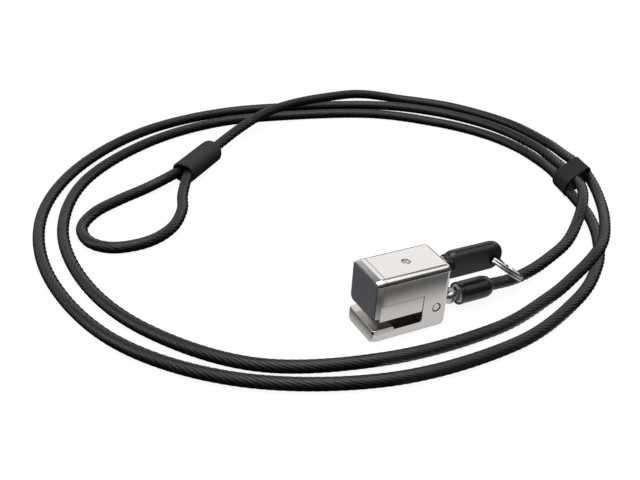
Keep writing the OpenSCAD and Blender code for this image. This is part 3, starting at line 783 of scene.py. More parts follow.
def place(piece: bpy.types.Object, finish: Finish, node: str, slot: str, note: str, crease: float = 32
          ) -> bpy.types.Object:
    """Gives a solid piece its edges, its finish and its place.

    Edges over the crease angle stay sharp, and the other normals are weighed by face area, so that
    flat faces stay flat beside the round ones.

    Args:
        piece: the piece.
        finish: its finish.
        node: the CAD node that it stands for.
        slot: the record's material slot; not used.
        note: words for the log.
        crease: the angle in degrees.

    Returns:
        The piece.
    """
    piece.data.shade_smooth()
    piece.data.set_sharp_from_angle(angle=math.radians(crease))
    even = piece.modifiers.new("even_normals", "WEIGHTED_NORMAL")
    even.keep_sharp = True
    settle(piece)
    piece.data.materials.clear()
    return enter(piece, finish, (node,), note)


def sides_of(line: np.ndarray) -> tuple[np.ndarray, np.ndarray]:
    """Level and upward directions square to a line that never stands upright, at each point."""
    heading = unit(np.gradient(line, axis=0))
    side = unit(np.cross(heading, [0.0, 0.0, 1.0]))
    return side, np.cross(side, heading)


def arc(x: float, r: float, radius: float, start: float, end: float, steps: int = 6) -> np.ndarray:
    """Points on a round corner of a profile, between two angles in degrees."""
    angle = np.radians(np.linspace(start, end, steps))
    return np.stack([x + radius * np.cos(angle), r + radius * np.sin(angle)], axis=1)


def dress_node(node: str, finish: Finish) -> bpy.types.Object:
    """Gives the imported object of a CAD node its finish, logs it and gives it back."""
    piece = frame["nodes"][node]
    finish.dress(piece)
    log.info("%s: %s", node, finish.name)
    return piece


# ---- Studio ----


@dataclass(frozen=True)
class FloorPaint(Finish):
    """Pale floor that reads white to the camera, keeps a soft shadow, and shows in metal.

    What metal mirrors of it is bright near the head and dim further off. Each range is in
    millimetres from the head's middle.
    """

    white: float = 0.91
    colour: float = 0.15
    front_fade: tuple[float, float] = (20.0, 34.0)
    rim_start: tuple[float, float] = (33.0, 40.0)
    rim_end: tuple[float, float] = (44.0, 54.0)
    back_fade: tuple[float, float] = (20.0, 40.0)
    left_fade: tuple[float, float] = (14.5, 19.0)
    right_fade: tuple[float, float] = (45.0, 70.0)
    near_glow: float = 0.58
    rim_glow: float = 0.42
    far_glow: float = 0.01

    def paint(self, shader: Shader) -> None:
        """Matt and glowing for all rays but those that metal mirrors, which see the glow alone."""
        seen, mirrored, through = shader.rays()
        x, y, _ = shader.axes(shader.object_point((1.0, 1.0, 1.0)))
        ahead = y * -1.0
        sides = (1 - (x * -1.0).step(*self.left_fade)) * (1 - x.step(*self.right_fade))
        near = sides * (1 - ahead.step(*self.front_fade)) * (1 - y.step(*self.back_fade))
        rim = sides * (ahead.step(*self.rim_start) - ahead.step(*self.rim_end))
        in_metal = self.near_glow * near + self.rim_glow * rim + self.far_glow
        glow = (seen + through) * self.white + (1 - seen) * mirrored * in_metal
        matt = shader.node("ShaderNodeBsdfDiffuse", None, {"Color": (*(self.colour,) * 3, 1)})
        light = shader.node("ShaderNodeEmission", None, {"Strength": glow})
        both = shader.node("ShaderNodeAddShader", None, {0: matt, 1: light})
        mixed = shader.node("ShaderNodeMixShader", None, {0: mirrored, 1: both, 2: light})
        shader.node("ShaderNodeOutputMaterial", None, {"Surface": mixed})


@dataclass(frozen=True)
class Softbox:
    """A square lamp, with its place and side in metres and its power in watts."""

    name: str
    place: tuple[float, float, float]
    side: float
    power: float


@dataclass
class Studio:
    """Camera, lamps, pale surroundings and floor.

    Angles are in degrees and lengths in metres. The sky's ranges are heights of a direction, from 0
    at the horizon to 1 overhead.
    """

    azimuth: float = -29.3
    elevation: float = 31.0
    roll: float = 3.73
    eye: tuple[float, float, float] = (-0.1422, -0.1984, 0.1753)
    lens: float = 50.625
    sensor: float = 36.0
    nearest: float = 0.005
    floor_side: float = 3.0
    floor_drop: float = 0.0001
    lit_point: tuple[float, float, float] = (0.02, 0.06, 0.0)
    fill: float = 0.42
    front_to_back: tuple[float, float] = (-0.15, 0.15)
    horizon: tuple[float, float] = (0.06, 0.30)
    horizon_dark: float = 0.95
    band_start: tuple[float, float] = (0.61, 0.67)
    band_end: tuple[float, float] = (0.84, 0.91)
    band_dark: float = 0.90
    front_sky: tuple[float, float] = (0.54, 0.66)
    front_least: float = 0.06

    FLOOR = FloorPaint("floor")
    LAMPS = (
        Softbox("softbox_over", (0.02, -0.02, 0.62), 0.5, 1.9),
        Softbox("softbox_left", (-0.55, 0.15, 0.35), 0.35, 0.7))

    def camera(self) -> None:
        """Sets the camera at its place, turned by azimuth, elevation and roll."""
        az, el, roll = (math.radians(a) for a in (self.azimuth, self.elevation, self.roll))
        ahead = Vector((-math.sin(az) * math.cos(el), math.cos(az) * math.cos(el), -math.sin(el)))
        level = Vector((math.cos(az), math.sin(az), 0))
        right = level * math.cos(roll) + level.cross(ahead) * math.sin(roll)
        data = bpy.data.cameras.new("camera")
        data.lens = self.lens
        data.sensor_width = self.sensor
        data.clip_start = self.nearest
        camera = linked("camera", data)
        turn = Matrix((right, right.cross(ahead), -ahead)).transposed().to_4x4()
        camera.matrix_world = Matrix.Translation(self.eye) @ turn
        bpy.context.scene.camera = camera

    def world(self) -> None:
        """White behind the object, even light on it, and a sky in bands for what metal reflects.

        Behind the object the sky is dark at the horizon and in one band higher up. In front of it
        the sky is dark up to half its height.
        """
        world = bpy.data.worlds.new("studio")
        bpy.context.scene.world = world
        world.use_nodes = True
        shader = Shader(world.node_tree)
        seen, mirrored, through = shader.rays()
        _, depth, height = shader.axes(shader.coordinates("Generated"))
        behind = depth.step(*self.front_to_back)
        low = 1.0 - height.step(*self.horizon)
        band = height.step(*self.band_start) - height.step(*self.band_end)
        far_side = 1.0 - self.band_dark * band - self.horizon_dark * low
        near_side = self.front_least + (1 - self.front_least) * height.step(*self.front_sky)
        in_metal = behind * far_side + (1 - behind) * near_side
        other = 1 - mirrored - through
        strength = seen + (1 - seen) * (mirrored * in_metal + through + other * self.fill)
        light = shader.node("ShaderNodeBackground", None, {"Color": (1, 1, 1, 1), "Strength": strength})
        shader.node("ShaderNodeOutputWorld", None, {"Surface": light})

    def lamp(self, box: Softbox) -> None:
        """Adds a square lamp that faces the middle of the object."""
        data = bpy.data.lights.new(box.name, "AREA")
        data.shape = "SQUARE"
        data.size = box.side
        data.energy = box.power
        lamp = linked(box.name, data)
        lamp.location = box.place
        aim = Vector(self.lit_point) - Vector(box.place)
        lamp.rotation_euler = aim.to_track_quat("-Z", "Y").to_euler()

    def floor(self) -> None:
        """Makes the floor, just under the object."""
        half = self.floor_side / 2
        corners = ((-half, -half), (half, -half), (half, half), (-half, half))
        mesh = bpy.data.meshes.new("floor")
        mesh.from_pydata([(x, y, -self.floor_drop) for x, y in corners], [], [(0, 1, 2, 3)])
        plane = linked("floor", mesh)
        self.FLOOR.dress(plane)

    def build(self) -> None:
        """Makes everything that surrounds the object."""
        self.camera()
        self.world()
        self.floor()
        for box in self.LAMPS:
            self.lamp(box)
        bpy.context.scene.view_settings.view_transform = "Standard"
        log.info("studio: camera, %d lamps, floor", len(self.LAMPS))


# ---- Cable ----


@dataclass
class Cable:
    """The steel cable in its jacket, from the boot round three passes to the eye and back to its crimp.

    Sizes are in metres, and the route is in millimetres.
    """

    diameter: float = 4.4 * MM
    points_a_strand: int = 6
    lay: float = 28 * MM
    groove: float = 0.24 * MM
    groove_power: float = 1.3
    step: float = 1.4 * MM
    boot_end: tuple[float, float, float] = (0.037, 0.0, 0.005)

    ROUTE = (
        (26, 0, 5), (37, 0, 5), (48, 1, 3.9), (60, 4.5, 2.7), (73, 9.5, 2.3), (86, 15.5, 2.3),
        (97, 23, 3.6), (107, 31.5, 6.6), (115, 41, 7.3), (119.8, 50, 6.2), (124.2, 60, 4.6),
        (129, 74, 2.7), (131, 92, 2.3), (126, 116, 2.2), (111, 139, 2.2), (88, 157, 2.2),
        (54, 168.5, 2.2), (10, 176, 2.2), (-32, 168, 2.2), (-68, 143, 2.2), (-91, 108, 2.2),
        (-98, 66, 2.2), (-88, 23, 2.2), (-60, -9, 2.2), (-18, -27, 2.2), (28, -28, 2.2),
        (63, -16.5, 2.2), (85, -2.5, 2.2), (99, 12.5, 2.2), (109, 29, 2.2), (114.4, 46, 2.6),
        (118.8, 60.4, 3.4), (122.3, 75, 2.5), (122, 93, 2.3), (116, 111, 2.2), (103, 129, 2.2),
        (79, 149, 2.2), (44, 160.5, 2.2), (4, 166, 2.2), (-34, 156, 2.2), (-68, 131, 2.2),
        (-86, 96, 2.2), (-88, 58, 2.2), (-77, 24, 2.2), (-52, -5, 2.2), (-14, -18, 2.2),
        (26, -19, 2.3), (54, -12, 2.5), (70.5, -6.5, 4.4), (82.5, -2, 7), (93.5, 5, 7.2),
        (105, 16.5, 6.8), (116, 30, 5.4), (125, 45, 5.6), (131.5, 60, 5.6), (136.5, 76, 3.3),
        (139, 93, 2.3), (135.5, 117, 2.2), (121, 143, 2.2), (100, 160, 2.9), (80, 166, 6),
        (60, 165.5, 7.2), (41, 164, 7.1), (24, 158.5, 6.9), (8, 149.5, 5.8), (-6.5, 139.4, 4.5),
        (-12, 134.7, 4.3), (-19.2, 131.6, 4.3))
    EYE_ROUTE = (
        (-29, 123.4, 4.3), (-32.8, 120.5, 4.3), (-40, 116.8, 3.9), (-49, 114, 2.7),
        (-61, 109.5, 2.3), (-72, 103.5, 2.2), (-79.5, 94, 2.2), (-79.5, 83, 2.2), (-72.5, 76, 2.2),
        (-60, 75.5, 2.2), (-49, 81.5, 2.3), (-41, 92.5, 2.4), (-36.5, 104, 3), (-29.5, 116.8, 4.3),
        (-26, 119.9, 4.3), (-17, 127.5, 4.3))

    def line(self) -> np.ndarray:
        """Even points along the cable's axis, in metres."""
        return smooth_curve(np.array(self.ROUTE + self.EYE_ROUTE) * MM, self.step)

    def build(self) -> bpy.types.Object:
        """Makes the jacketed cable.

        A ring of points follows the axis. Its radius falls by the groove's depth between two
        strands, as a power of 1 less the sine of the angle within a strand, and the whole ring turns
        once in each lay, so the strands are right-handed helices.

        Returns:
            The cable.
        """
        line = self.line()
        side, up = sides_of(line)
        length = distances(line)[-1]
        run = np.linspace(0, length, len(line))[:, None]
        around = STRANDS * self.points_a_strand
        share = np.arange(around)[None, :] / around
        valley = (1 - np.abs(np.sin(math.pi * STRANDS * share))) ** self.groove_power
        radius = (self.diameter / 2 - self.groove * valley)[..., None]
        angle = TAU * share - TAU * run / self.lay
        ring = radius * (np.cos(angle)[..., None] * side[:, None] + np.sin(angle)[..., None] * up[:, None])
        points = (line[:, None] + ring).reshape(-1, 3)
        # The angle runs clockwise round the heading, so each face is turned over
        faces = [face[::-1] for face in tube_faces(len(line), around)]
        uv = np.stack(np.broadcast_arrays(share, run / MM), axis=-1).reshape(-1, 2)
        piece = add_piece("cable_jacket", points, faces, uv)
        # Metal nearby mirrors the pale floor, not the cable
        piece.visible_glossy = False
        return enter(piece, VINYL, ("cable", "eye_loop"), f"{length:.3f} m of cable")

    def declare(self) -> None:
        """Works out the cable's axis line, and does nothing more with it."""
        line = self.line()


# ---- Strap ----


@dataclass
class Strap:
    """The closed hook-and-loop strap round the three passes, with its outer end over its inner one.

    Sizes are in millimetres and angles in degrees. Angles go round the oval from its right end.
    """

    middle: tuple[float, float] = (122.3, 55.3)
    across_turn: float = 13.0
    along_turn: float = 76.0
    lean: float = 12.0
    width: float = 11.0
    span: float = 18.6
    height: float = 8.0
    layer: float = 0.6
    start: float = 238.0
    end: float = -285.0
    stations: int = 220
    lap_after: float = 330.0
    lap_turn: float = 40.0
    lap_drop: float = 1.02
    peel: float = 0.5
    peel_turn: float = 30.0
    squareness: float = 6.0
    fullness: float = 0.96
    edge_points: int = 7
    face_points: int = 12
    flatness: float = 0.8
    hem: float = 0.75
    hem_at: float = 0.7
    hem_width: float = 0.35
    ripple: float = 0.06
    ripple_rates: tuple[float, float] = (0.55, 0.25)
    lift: float = 0.06
    pressed: float = 0.03

    def loop(self) -> tuple[np.ndarray, np.ndarray]:
        """The tape's middle round the passes, once and a half, and the outward direction there.

        At each angle the path lies at the radius times the cosine and sine, on an oval of two half
        circles and two flats. The shift along a flat is half its length times the hyperbolic tangent
        of the cosine, made steeper. The radius drops by one layer where the tape passes under its
        own start, and rises a little at the loose end.

        Returns:
            The points and the directions, one a row.
        """
        flat = (self.span - self.height) / 2
        angle = np.linspace(self.start, self.end, self.stations)
        under = np.clip((self.start - self.lap_after - angle) / self.lap_turn, 0, 1)
        loose = np.clip((angle - self.start + self.peel_turn) / self.peel_turn, 0, 1)
        outer = (self.height - self.layer) / 2
        radius = outer - self.layer * self.lap_drop * eased(under) + self.peel * loose**2
        cosine, sine = np.cos(np.radians(angle)), np.sin(np.radians(angle))
        shift = flat * np.tanh(self.squareness * cosine) / np.tanh(self.squareness)
        path = np.stack([shift + radius * cosine, radius * sine], axis=1)
        heading = unit(np.gradient(path, axis=0))
        return path, np.stack([heading[:, 1], -heading[:, 0]], axis=1)

    def section(self) -> np.ndarray:
        """The tape's section, as places across it and through it, with round edges."""
        half, thick = self.width / 2, self.layer / 2 * self.fullness
        edge = arc(half - thick, 0, thick, -90, 90, self.edge_points)
        stops = np.linspace(half - thick, thick - half, self.face_points + 2)[1:-1]
        face = np.stack([stops, np.full(self.face_points, thick)], axis=1)
        return np.vstack([edge, face, -edge, -face])

    def build(self) -> bpy.types.Object:
        """Makes the strap.

        The section is carried along the path. It is thicker at a bell-shaped hem along each edge,
        and a slow wave pushes it in and out. The whole leans, and stands on the floor.

        Returns:
            The strap.
        """
        path, outward = self.loop()
        run = distances(path)[:, None]
        across, through = self.section().T[:, None, :]
        bell = np.exp(-(((np.abs(across) - self.width / 2 + self.hem_at) / self.hem_width) ** 2))
        along_rate, across_rate = self.ripple_rates
        depth = (through * (1 + self.hem * bell) * self.flatness
                 + self.ripple * np.sin(run * along_rate + across * across_rate))
        u, w = (path[:, k, None] + outward[:, k, None] * depth for k in (0, 1))
        lean, a, b = (math.radians(turn) for turn in (self.lean, self.across_turn, self.along_turn))
        foot = self.height / 2 + (self.span - self.height) / 2 * math.sin(lean)
        level = u * math.cos(lean) - w * math.sin(lean)
        rise = u * math.sin(lean) + w * math.cos(lean) + foot
        x = self.middle[0] + level * math.cos(a) + across * math.cos(b)
        y = self.middle[1] + level * math.sin(a) + across * math.sin(b)
        z = np.maximum(rise, self.lift + self.pressed * through)
        points = np.stack([x, y, z], axis=-1)
        uv = np.stack(np.broadcast_arrays(run, across), axis=-1).reshape(-1, 2)
        faces = tube_faces(*points.shape[:2])
        piece = add_piece("hook_and_loop_strap", points.reshape(-1, 3) * MM, faces, uv, 60)
        return enter(piece, STRAP_BLACK, ("cable_strap",), "closed strap with a loose end")


# ---- Cable end at the lock ----


@dataclass
class CableEnd:
    """The swivel stud with its forked knuckle, the pinned fitting, and the boot over the cable.

    Sizes are in millimetres. A groove, collar or flange is its start, its end and its radius.
    """

    stud_r: float = 2.8
    stud_start: float = 5.6
    stud_chamfer: float = 0.3
    groove: tuple[float, float, float] = (8.1, 10.9, 2.0)
    collar: tuple[float, float, float] = (14.2, 15.0, 3.2)
    collar_chamfer: float = 0.1
    collar_round: float = 0.35
    neck_r: float = 2.2
    neck_round: float = 0.5
    knuckle_x: float = 20.2
    knuckle_r: float = 2.9
    fork: float = 3.0
    fork_root: float = 2.35
    pivot_r: float = 0.9
    pivot_l: float = 3.9
    pivot_chamfer: float = 0.2
    pivot_play: float = 0.05
    tongue: float = 2.8
    tongue_h: float = 4.2
    tongue_back: float = 2.15
    tongue_r: float = 2.05
    tongue_edge: float = 0.25
    flange: tuple[float, float, float] = (23.6, 24.4, 3.32)
    flange_round: float = 0.2
    shoulder: tuple[float, float] = (0.12, 2.5)
    shoulder_chamfer: float = 0.15
    boot_x: float = 23.3
    boot_l: float = 13.7
    boot_r: float = 3.95
    bore: float = 2.25
    mouth_play: float = 0.05
    mouth_l: float = 1.1
    lip_r: float = 0.28
    waist: tuple[float, float, float, float] = (1.3, 1.6, 2.2, 2.8)
    waist_drop: float = 0.1
    body_drop: float = 0.04
    dome_l: float = 3.4
    dome_foot: float = 0.12

    def stud(self) -> bpy.types.Object:
        """Makes the stud: a turned shaft, groove, collar and neck up to a ball, cut to a fork."""
        start, r, x = self.stud_start, self.stud_r, self.knuckle_x
        cut_in, cut_out, deep = self.groove
        low, high, wide = self.collar
        chamfer, corner, hollow = self.collar_chamfer, self.collar_round, self.neck_round
        ball_start = 180 - math.degrees(math.asin(self.neck_r / self.knuckle_r))
        profile = np.vstack([
            [[start, 0], [start, r - self.stud_chamfer], [start + self.stud_chamfer, r]],
            [[cut_in, r], [cut_in, deep], [cut_out, deep], [cut_out, r]],
            [[low, r], [low, wide - chamfer], [low + chamfer, wide]],
            arc(high - corner, wide - corner, corner, 90, 0),
            arc(high + hollow, self.neck_r + hollow, hollow, 180, 270),
            arc(x, 0, self.knuckle_r, ball_start, 0.5, 26), [[x + self.knuckle_r, 0]]])
        piece = solid("swivel_knuckle", turned(profile, STUD_AXIS, Along.X, 96))
        half, middle = self.fork / 2, STUD_AXIS[1]
        cut(piece,
            brick((x - self.fork_root, -half, 0), (x + REACH, half, 2 * middle)),
            rod(-REACH, REACH, self.pivot_r, (x, middle), Along.Y))
        return place(piece, BRIGHT_STEEL, "swivel_stud", "knuckle_steel", "forked knuckle")

    def pin(self) -> bpy.types.Object:
        """Makes the short pin through the knuckle."""
        half, centre = self.pivot_l / 2, (self.knuckle_x, STUD_AXIS[1])
        piece = solid("knuckle_pin", chamfered(-half, half, self.pivot_r, self.pivot_chamfer, centre))
        return place(piece, PIN_STEEL, "pivot_pin", "pin_steel", "pivot pin")

    def fitting(self) -> bpy.types.Object:
        """Makes the tongue, carried across the head, and the stepped flange in the boot's mouth."""
        x, middle = self.knuckle_x, STUD_AXIS[1]
        low, high, wide = self.flange
        tall, half = self.tongue_h / 2, self.tongue / 2
        plan = Outline.block((x - self.tongue_back, middle - tall), (low + LAP, middle + tall),
                             (LAP, LAP, self.tongue_r, self.tongue_r))
        rows = ends_rounded(-half, half, self.tongue_edge, self.tongue_edge)
        piece = solid("cable_tongue", carried(plan, rows, Along.Y))
        cut(piece, rod(-REACH, REACH, self.pivot_r + self.pivot_play, (x, middle), Along.Y))
        step, step_r = self.shoulder
        corner = self.flange_round
        steps = np.vstack([
            [[low, 0], [low, step_r - self.shoulder_chamfer], [low + step, step_r]],
            [[low + step, wide - 2.5 * corner]],
            arc(low + 1.5 * corner, wide - 1.1 * corner, corner, 160, 90, 5), [[high, wide], [high, 0]]])
        add(piece, solid("flange", turned(steps, STUD_AXIS)))
        place(piece, DARK_STEEL, "cable_fitting", "knuckle_steel", "tongue and flange")
        line_faces(piece, (low - HAIR, -wide, 0), (high + PAST, wide, middle + wide + PAST), PIN_STEEL)
        return piece

    def boot(self) -> bpy.types.Object:
        """Makes the boot as a closed profile turned about the cable's axis.

        The profile has a rounded lip round an open mouth, a faint waist behind it, a straight body,
        and a dome that is a quarter of an ellipse, down to the cable.

        Returns:
            The boot.
        """
        mouth, r, corner = self.flange[2] + self.mouth_play, self.boot_r, self.lip_r
        body, foot = r - self.body_drop, self.bore + self.dome_foot
        dome = np.radians(np.linspace(90, 4, 16))
        ellipse = np.stack([self.boot_l - self.dome_l * (1 - np.cos(dome)),
                            foot + (body - foot) * np.sin(dome)], axis=1)
        levels = (r, r - self.waist_drop, r - self.waist_drop, body)
        profile = np.vstack([
            [[self.mouth_l, self.bore], [self.mouth_l, mouth], [0.16, mouth], [0.05, mouth + 0.08]],
            arc(corner, r - corner, corner, 170, 90),
            np.stack([self.waist, levels], axis=1), ellipse, [[self.boot_l - 0.12, self.bore]]])
        profile[:, 0] += self.boot_x
        piece = solid("glossy_boot", turned(profile, STUD_AXIS, Along.X, 96))
        return place(piece, BOOT_BLACK, "cable_boot", "boot_black", "turned boot", 40)

    def build(self) -> bpy.types.Object:
        """Makes the four pieces and gives back the boot."""
        self.stud()
        self.pin()
        self.fitting()
        return self.boot()


# ---- Eye ----


@dataclass
class EyeEnd:
    """The moulded cover over the crimped eye, and the sleeve inside it.

    Sizes are in millimetres. A hollow is half its width, half its height, its corners' radius,
    its start and its end along the cover.
    """

    length: float = 27.0
    width: float = 10.2
    height: float = 8.6
    side_r: float = 3.8
    nose_r: float = 2.2
    mouth_r: float = 0.8
    nose_rows: int = 14
    wall: float = 0.8
    mouth_l: float = 4.0
    mouth_corner: float = 3.0
    hole: float = 2.25
    room: tuple[float, float, float, float, float] = (4.8, 2.55, 2.5, -11.0, 8.0)
    legs: tuple[float, float, float] = (4.5, 2.25, 2.2)
    seat: tuple[float, float] = (-20.8, 127.3)
    turn: float = 220.0

    def hollow(self, half_w: float, half_h: float, radius: float, low: float, high: float
               ) -> tuple[np.ndarray, list]:
        """A rounded cutter about the cover's middle line, from low to high."""
        middle = self.height / 2
        outline = Outline.block((-half_w, middle - half_h), (half_w, middle + half_h), (radius,) * 4)
        return prism(outline, low, high, Along.X)

    def cover(self) -> bpy.types.Object:
        """Makes the cover.

        A rounded section is carried along the cover. At the closed end its sides are drawn in by a
        quarter circle of the side radius, and its top and foot by one of the nose radius. The open
        end has one small radius all round.

        Returns:
            The cover.
        """
        half, wide = self.length / 2, self.width / 2
        outline = Outline.block((-wide, 0), (wide, self.height), (self.side_r,) * 4)
        deep = self.side_r * np.linspace(0, 1, self.nose_rows) ** 2
        side, nose = (r - np.sqrt(r**2 - np.maximum(r - deep, 0) ** 2) for r in (self.side_r, self.nose_r))
        rows = np.vstack([np.stack([deep - half, side, nose], axis=1), quarter(half, self.mouth_r, -1)])
        piece = solid("eye_housing", carried(outline, rows, Along.X))
        back, front = self.room[3:]
        beyond = half + 2 * PAST
        cut(piece,
            self.hollow(*self.room),
            self.hollow(*self.legs, front - LAP, beyond),
            self.hollow(wide - self.wall, self.height / 2 - self.wall, self.mouth_corner,
                        half - self.mouth_l, beyond),
            rod(-beyond, back + LAP, self.hole, (0, self.height / 2)))
        seat = Matrix.Translation((self.seat[0] * MM, self.seat[1] * MM, 0))
        piece.data.transform(seat @ Matrix.Rotation(math.radians(self.turn), 4, "Z"))
        return place(piece, COVER_BLACK, "eye_cover", "cover_black", "moulded cover", 40)

    def build(self) -> list:
        """Makes the cover, dresses the sleeve, and gives both back."""
        sleeve = dress_node("eye_crimp", ALUMINIUM)
        return [self.cover(), sleeve]


# ---- Key ----


@dataclass
class Key:
    """The key, its moulded bow and its split ring.

    Sizes are in millimetres and angles in degrees. The collar is its start, its end and its radius,
    and the hole is its place on X and Z and its radius.
    """

    tip: float = 5.2
    tube_r: float = 2.45
    tube_end: float = 18.4
    tube_chamfer: tuple[float, float] = (0.3, 0.25)
    bore_r: float = 1.2
    bore_end: float = 14.5
    bore_chamfer: float = 0.15
    collar: tuple[float, float, float] = (15.2, 15.8, 3.1)
    collar_chamfer: tuple[float, float] = (0.12, 0.15)
    notch_w: float = 1.0
    notch_l: float = 1.5
    notch_foot: float = 20.0
    bow_start: float = 15.9
    bow_end: float = 39.4
    bow_mid: float = 17.8
    bow_h: float = 10.4
    bow_t: float = 4.6
    bow_corners: tuple[float, float, float, float] = (5.0, 5.0, 3.6, 3.6)
    bow_rows: int = 25
    crown: float = 1.3
    crown_power: float = 2.3
    hole: tuple[float, float, float] = (34.8, 17.3, 1.7)
    hang: float = 37.4
    outer: float = 8.55
    wire: float = 1.1
    wire_r: float = 0.22
    coil: float = 0.95
    squeeze: float = 0.97
    turns: float = 2.0
    gap: float = 0.06
    ring_start: float = 32.4
    stations: int = 260

    # Distance behind the bow's start and radius, round the neck's two ribs
    NECK = (
        (0, 2.5), (0, 3.0), (0.12, 3.1), (0.85, 3.1), (0.87, 3.4), (0.97, 3.5), (1.75, 3.5), (1.85, 3.3),
        (2.0, 3.3), (2.1, 3.5), (2.5, 3.5), (2.6, 3.4), (2.6, 2.5))

    def ring(self) -> bpy.types.Object:
        """Makes the split ring.

        A flat wire with round edges goes twice round a circle. It lies half a coil to one side in
        the first turn and half a coil to the other in the second, and steps over between them.

        Returns:
            The ring.
        """
        low, high = (np.array(corner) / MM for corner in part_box("key_ring"))
        hang = math.radians(self.hang)
        outwards = np.array([math.cos(hang), 0, -math.sin(hang)])
        sideways = np.array([0.0, 1.0, 0.0])
        axle = np.cross(outwards, sideways)
        angle = np.linspace(self.gap, self.turns * TAU - self.gap, self.stations)
        offset = self.coil * (eased(np.clip((angle - TAU) / 0.5 + 0.5, 0, 1)) - 0.5)
        wide, tall = self.wire / 2, self.coil / 2 * self.squeeze
        corner = arc(wide - self.wire_r, tall - self.wire_r, self.wire_r, 0, 90, 4)
        section = np.vstack([corner, corner[::-1] * [-1, 1], corner * [-1, -1], corner[::-1] * [1, -1]])
        reach = self.outer - wide + section[:, 0]
        turn = (angle + math.radians(self.ring_start))[:, None, None]
        rim = np.cos(turn) * outwards + np.sin(turn) * sideways
        rise = (offset[:, None] + section[:, 1])[..., None]
        points = (low + high) / 2 + reach[:, None] * rim + rise * axle
        faces = tube_faces(*points.shape[:2])
        piece = add_piece("split_ring", points.reshape(-1, 3) * MM, faces, None, 35)
        return enter(piece, BRIGHT_STEEL, ("key_ring",), "two-turn split ring")

    def shank(self) -> bpy.types.Object:
        """Makes the key's tube with its bore, notch and collar, turned about the key's axis."""
        tip, r, end, bore = self.tip, self.tube_r, self.tube_end, self.bore_r
        low, high, wide = self.collar
        (bevel, drop), (ease, fall) = self.tube_chamfer, self.collar_chamfer
        profile = np.array([
            [tip, bore + self.bore_chamfer], [tip, r - drop], [tip + bevel, r], [low, r],
            [low, wide - fall], [low + ease, wide], [high - ease, wide], [high, wide - fall], [high, r],
            [end, r], [end, bore], [self.bore_end, bore], [tip + self.bore_chamfer, bore]])
        piece = solid("key_tube", turned(profile, KEY_AXIS))
        half = self.notch_w / 2
        cut(piece, brick((tip - PAST, -half, self.notch_foot),
                         (tip + self.notch_l, half, KEY_AXIS[1] + r + PAST)))
        return place(piece, BRIGHT_STEEL, "key_shank", "key_steel", "key tube and collar")

    def bow(self) -> bpy.types.Object:
        """Makes the bow: a long outline with round ends, carried across, and a stepped round neck.

        Its rim is crowned. At a share s of the way from the middle to a broad face, the outline is
        drawn in by the crown times a power of s, and the broad face starts at a crisp edge.

        Returns:
            The bow.
        """
        low, high = self.bow_mid - self.bow_h / 2, self.bow_mid + self.bow_h / 2
        outline = Outline.block((self.bow_start, low), (self.bow_end, high), self.bow_corners, 18)
        share = np.linspace(-1, 1, self.bow_rows)
        inset = self.crown * np.abs(share) ** self.crown_power
        rows = np.stack([self.bow_t / 2 * share, inset, inset], axis=1)
        piece = solid("key_bow_shell", carried(outline, rows, Along.Y))
        x, z, radius = self.hole
        cut(piece, rod(-REACH, REACH, radius, (x, z), Along.Y))
        neck = np.array(self.NECK) + [self.bow_start, 0]
        add(piece, solid("neck", turned(neck, KEY_AXIS)))
        return place(piece, KEY_BLACK, "key_bow", "key_black", "moulded bow")

    def build(self) -> None:
        """Makes the tube, the bow and the ring."""
        self.shank()
        self.bow()
        self.ring()


# ---- Lock head ----


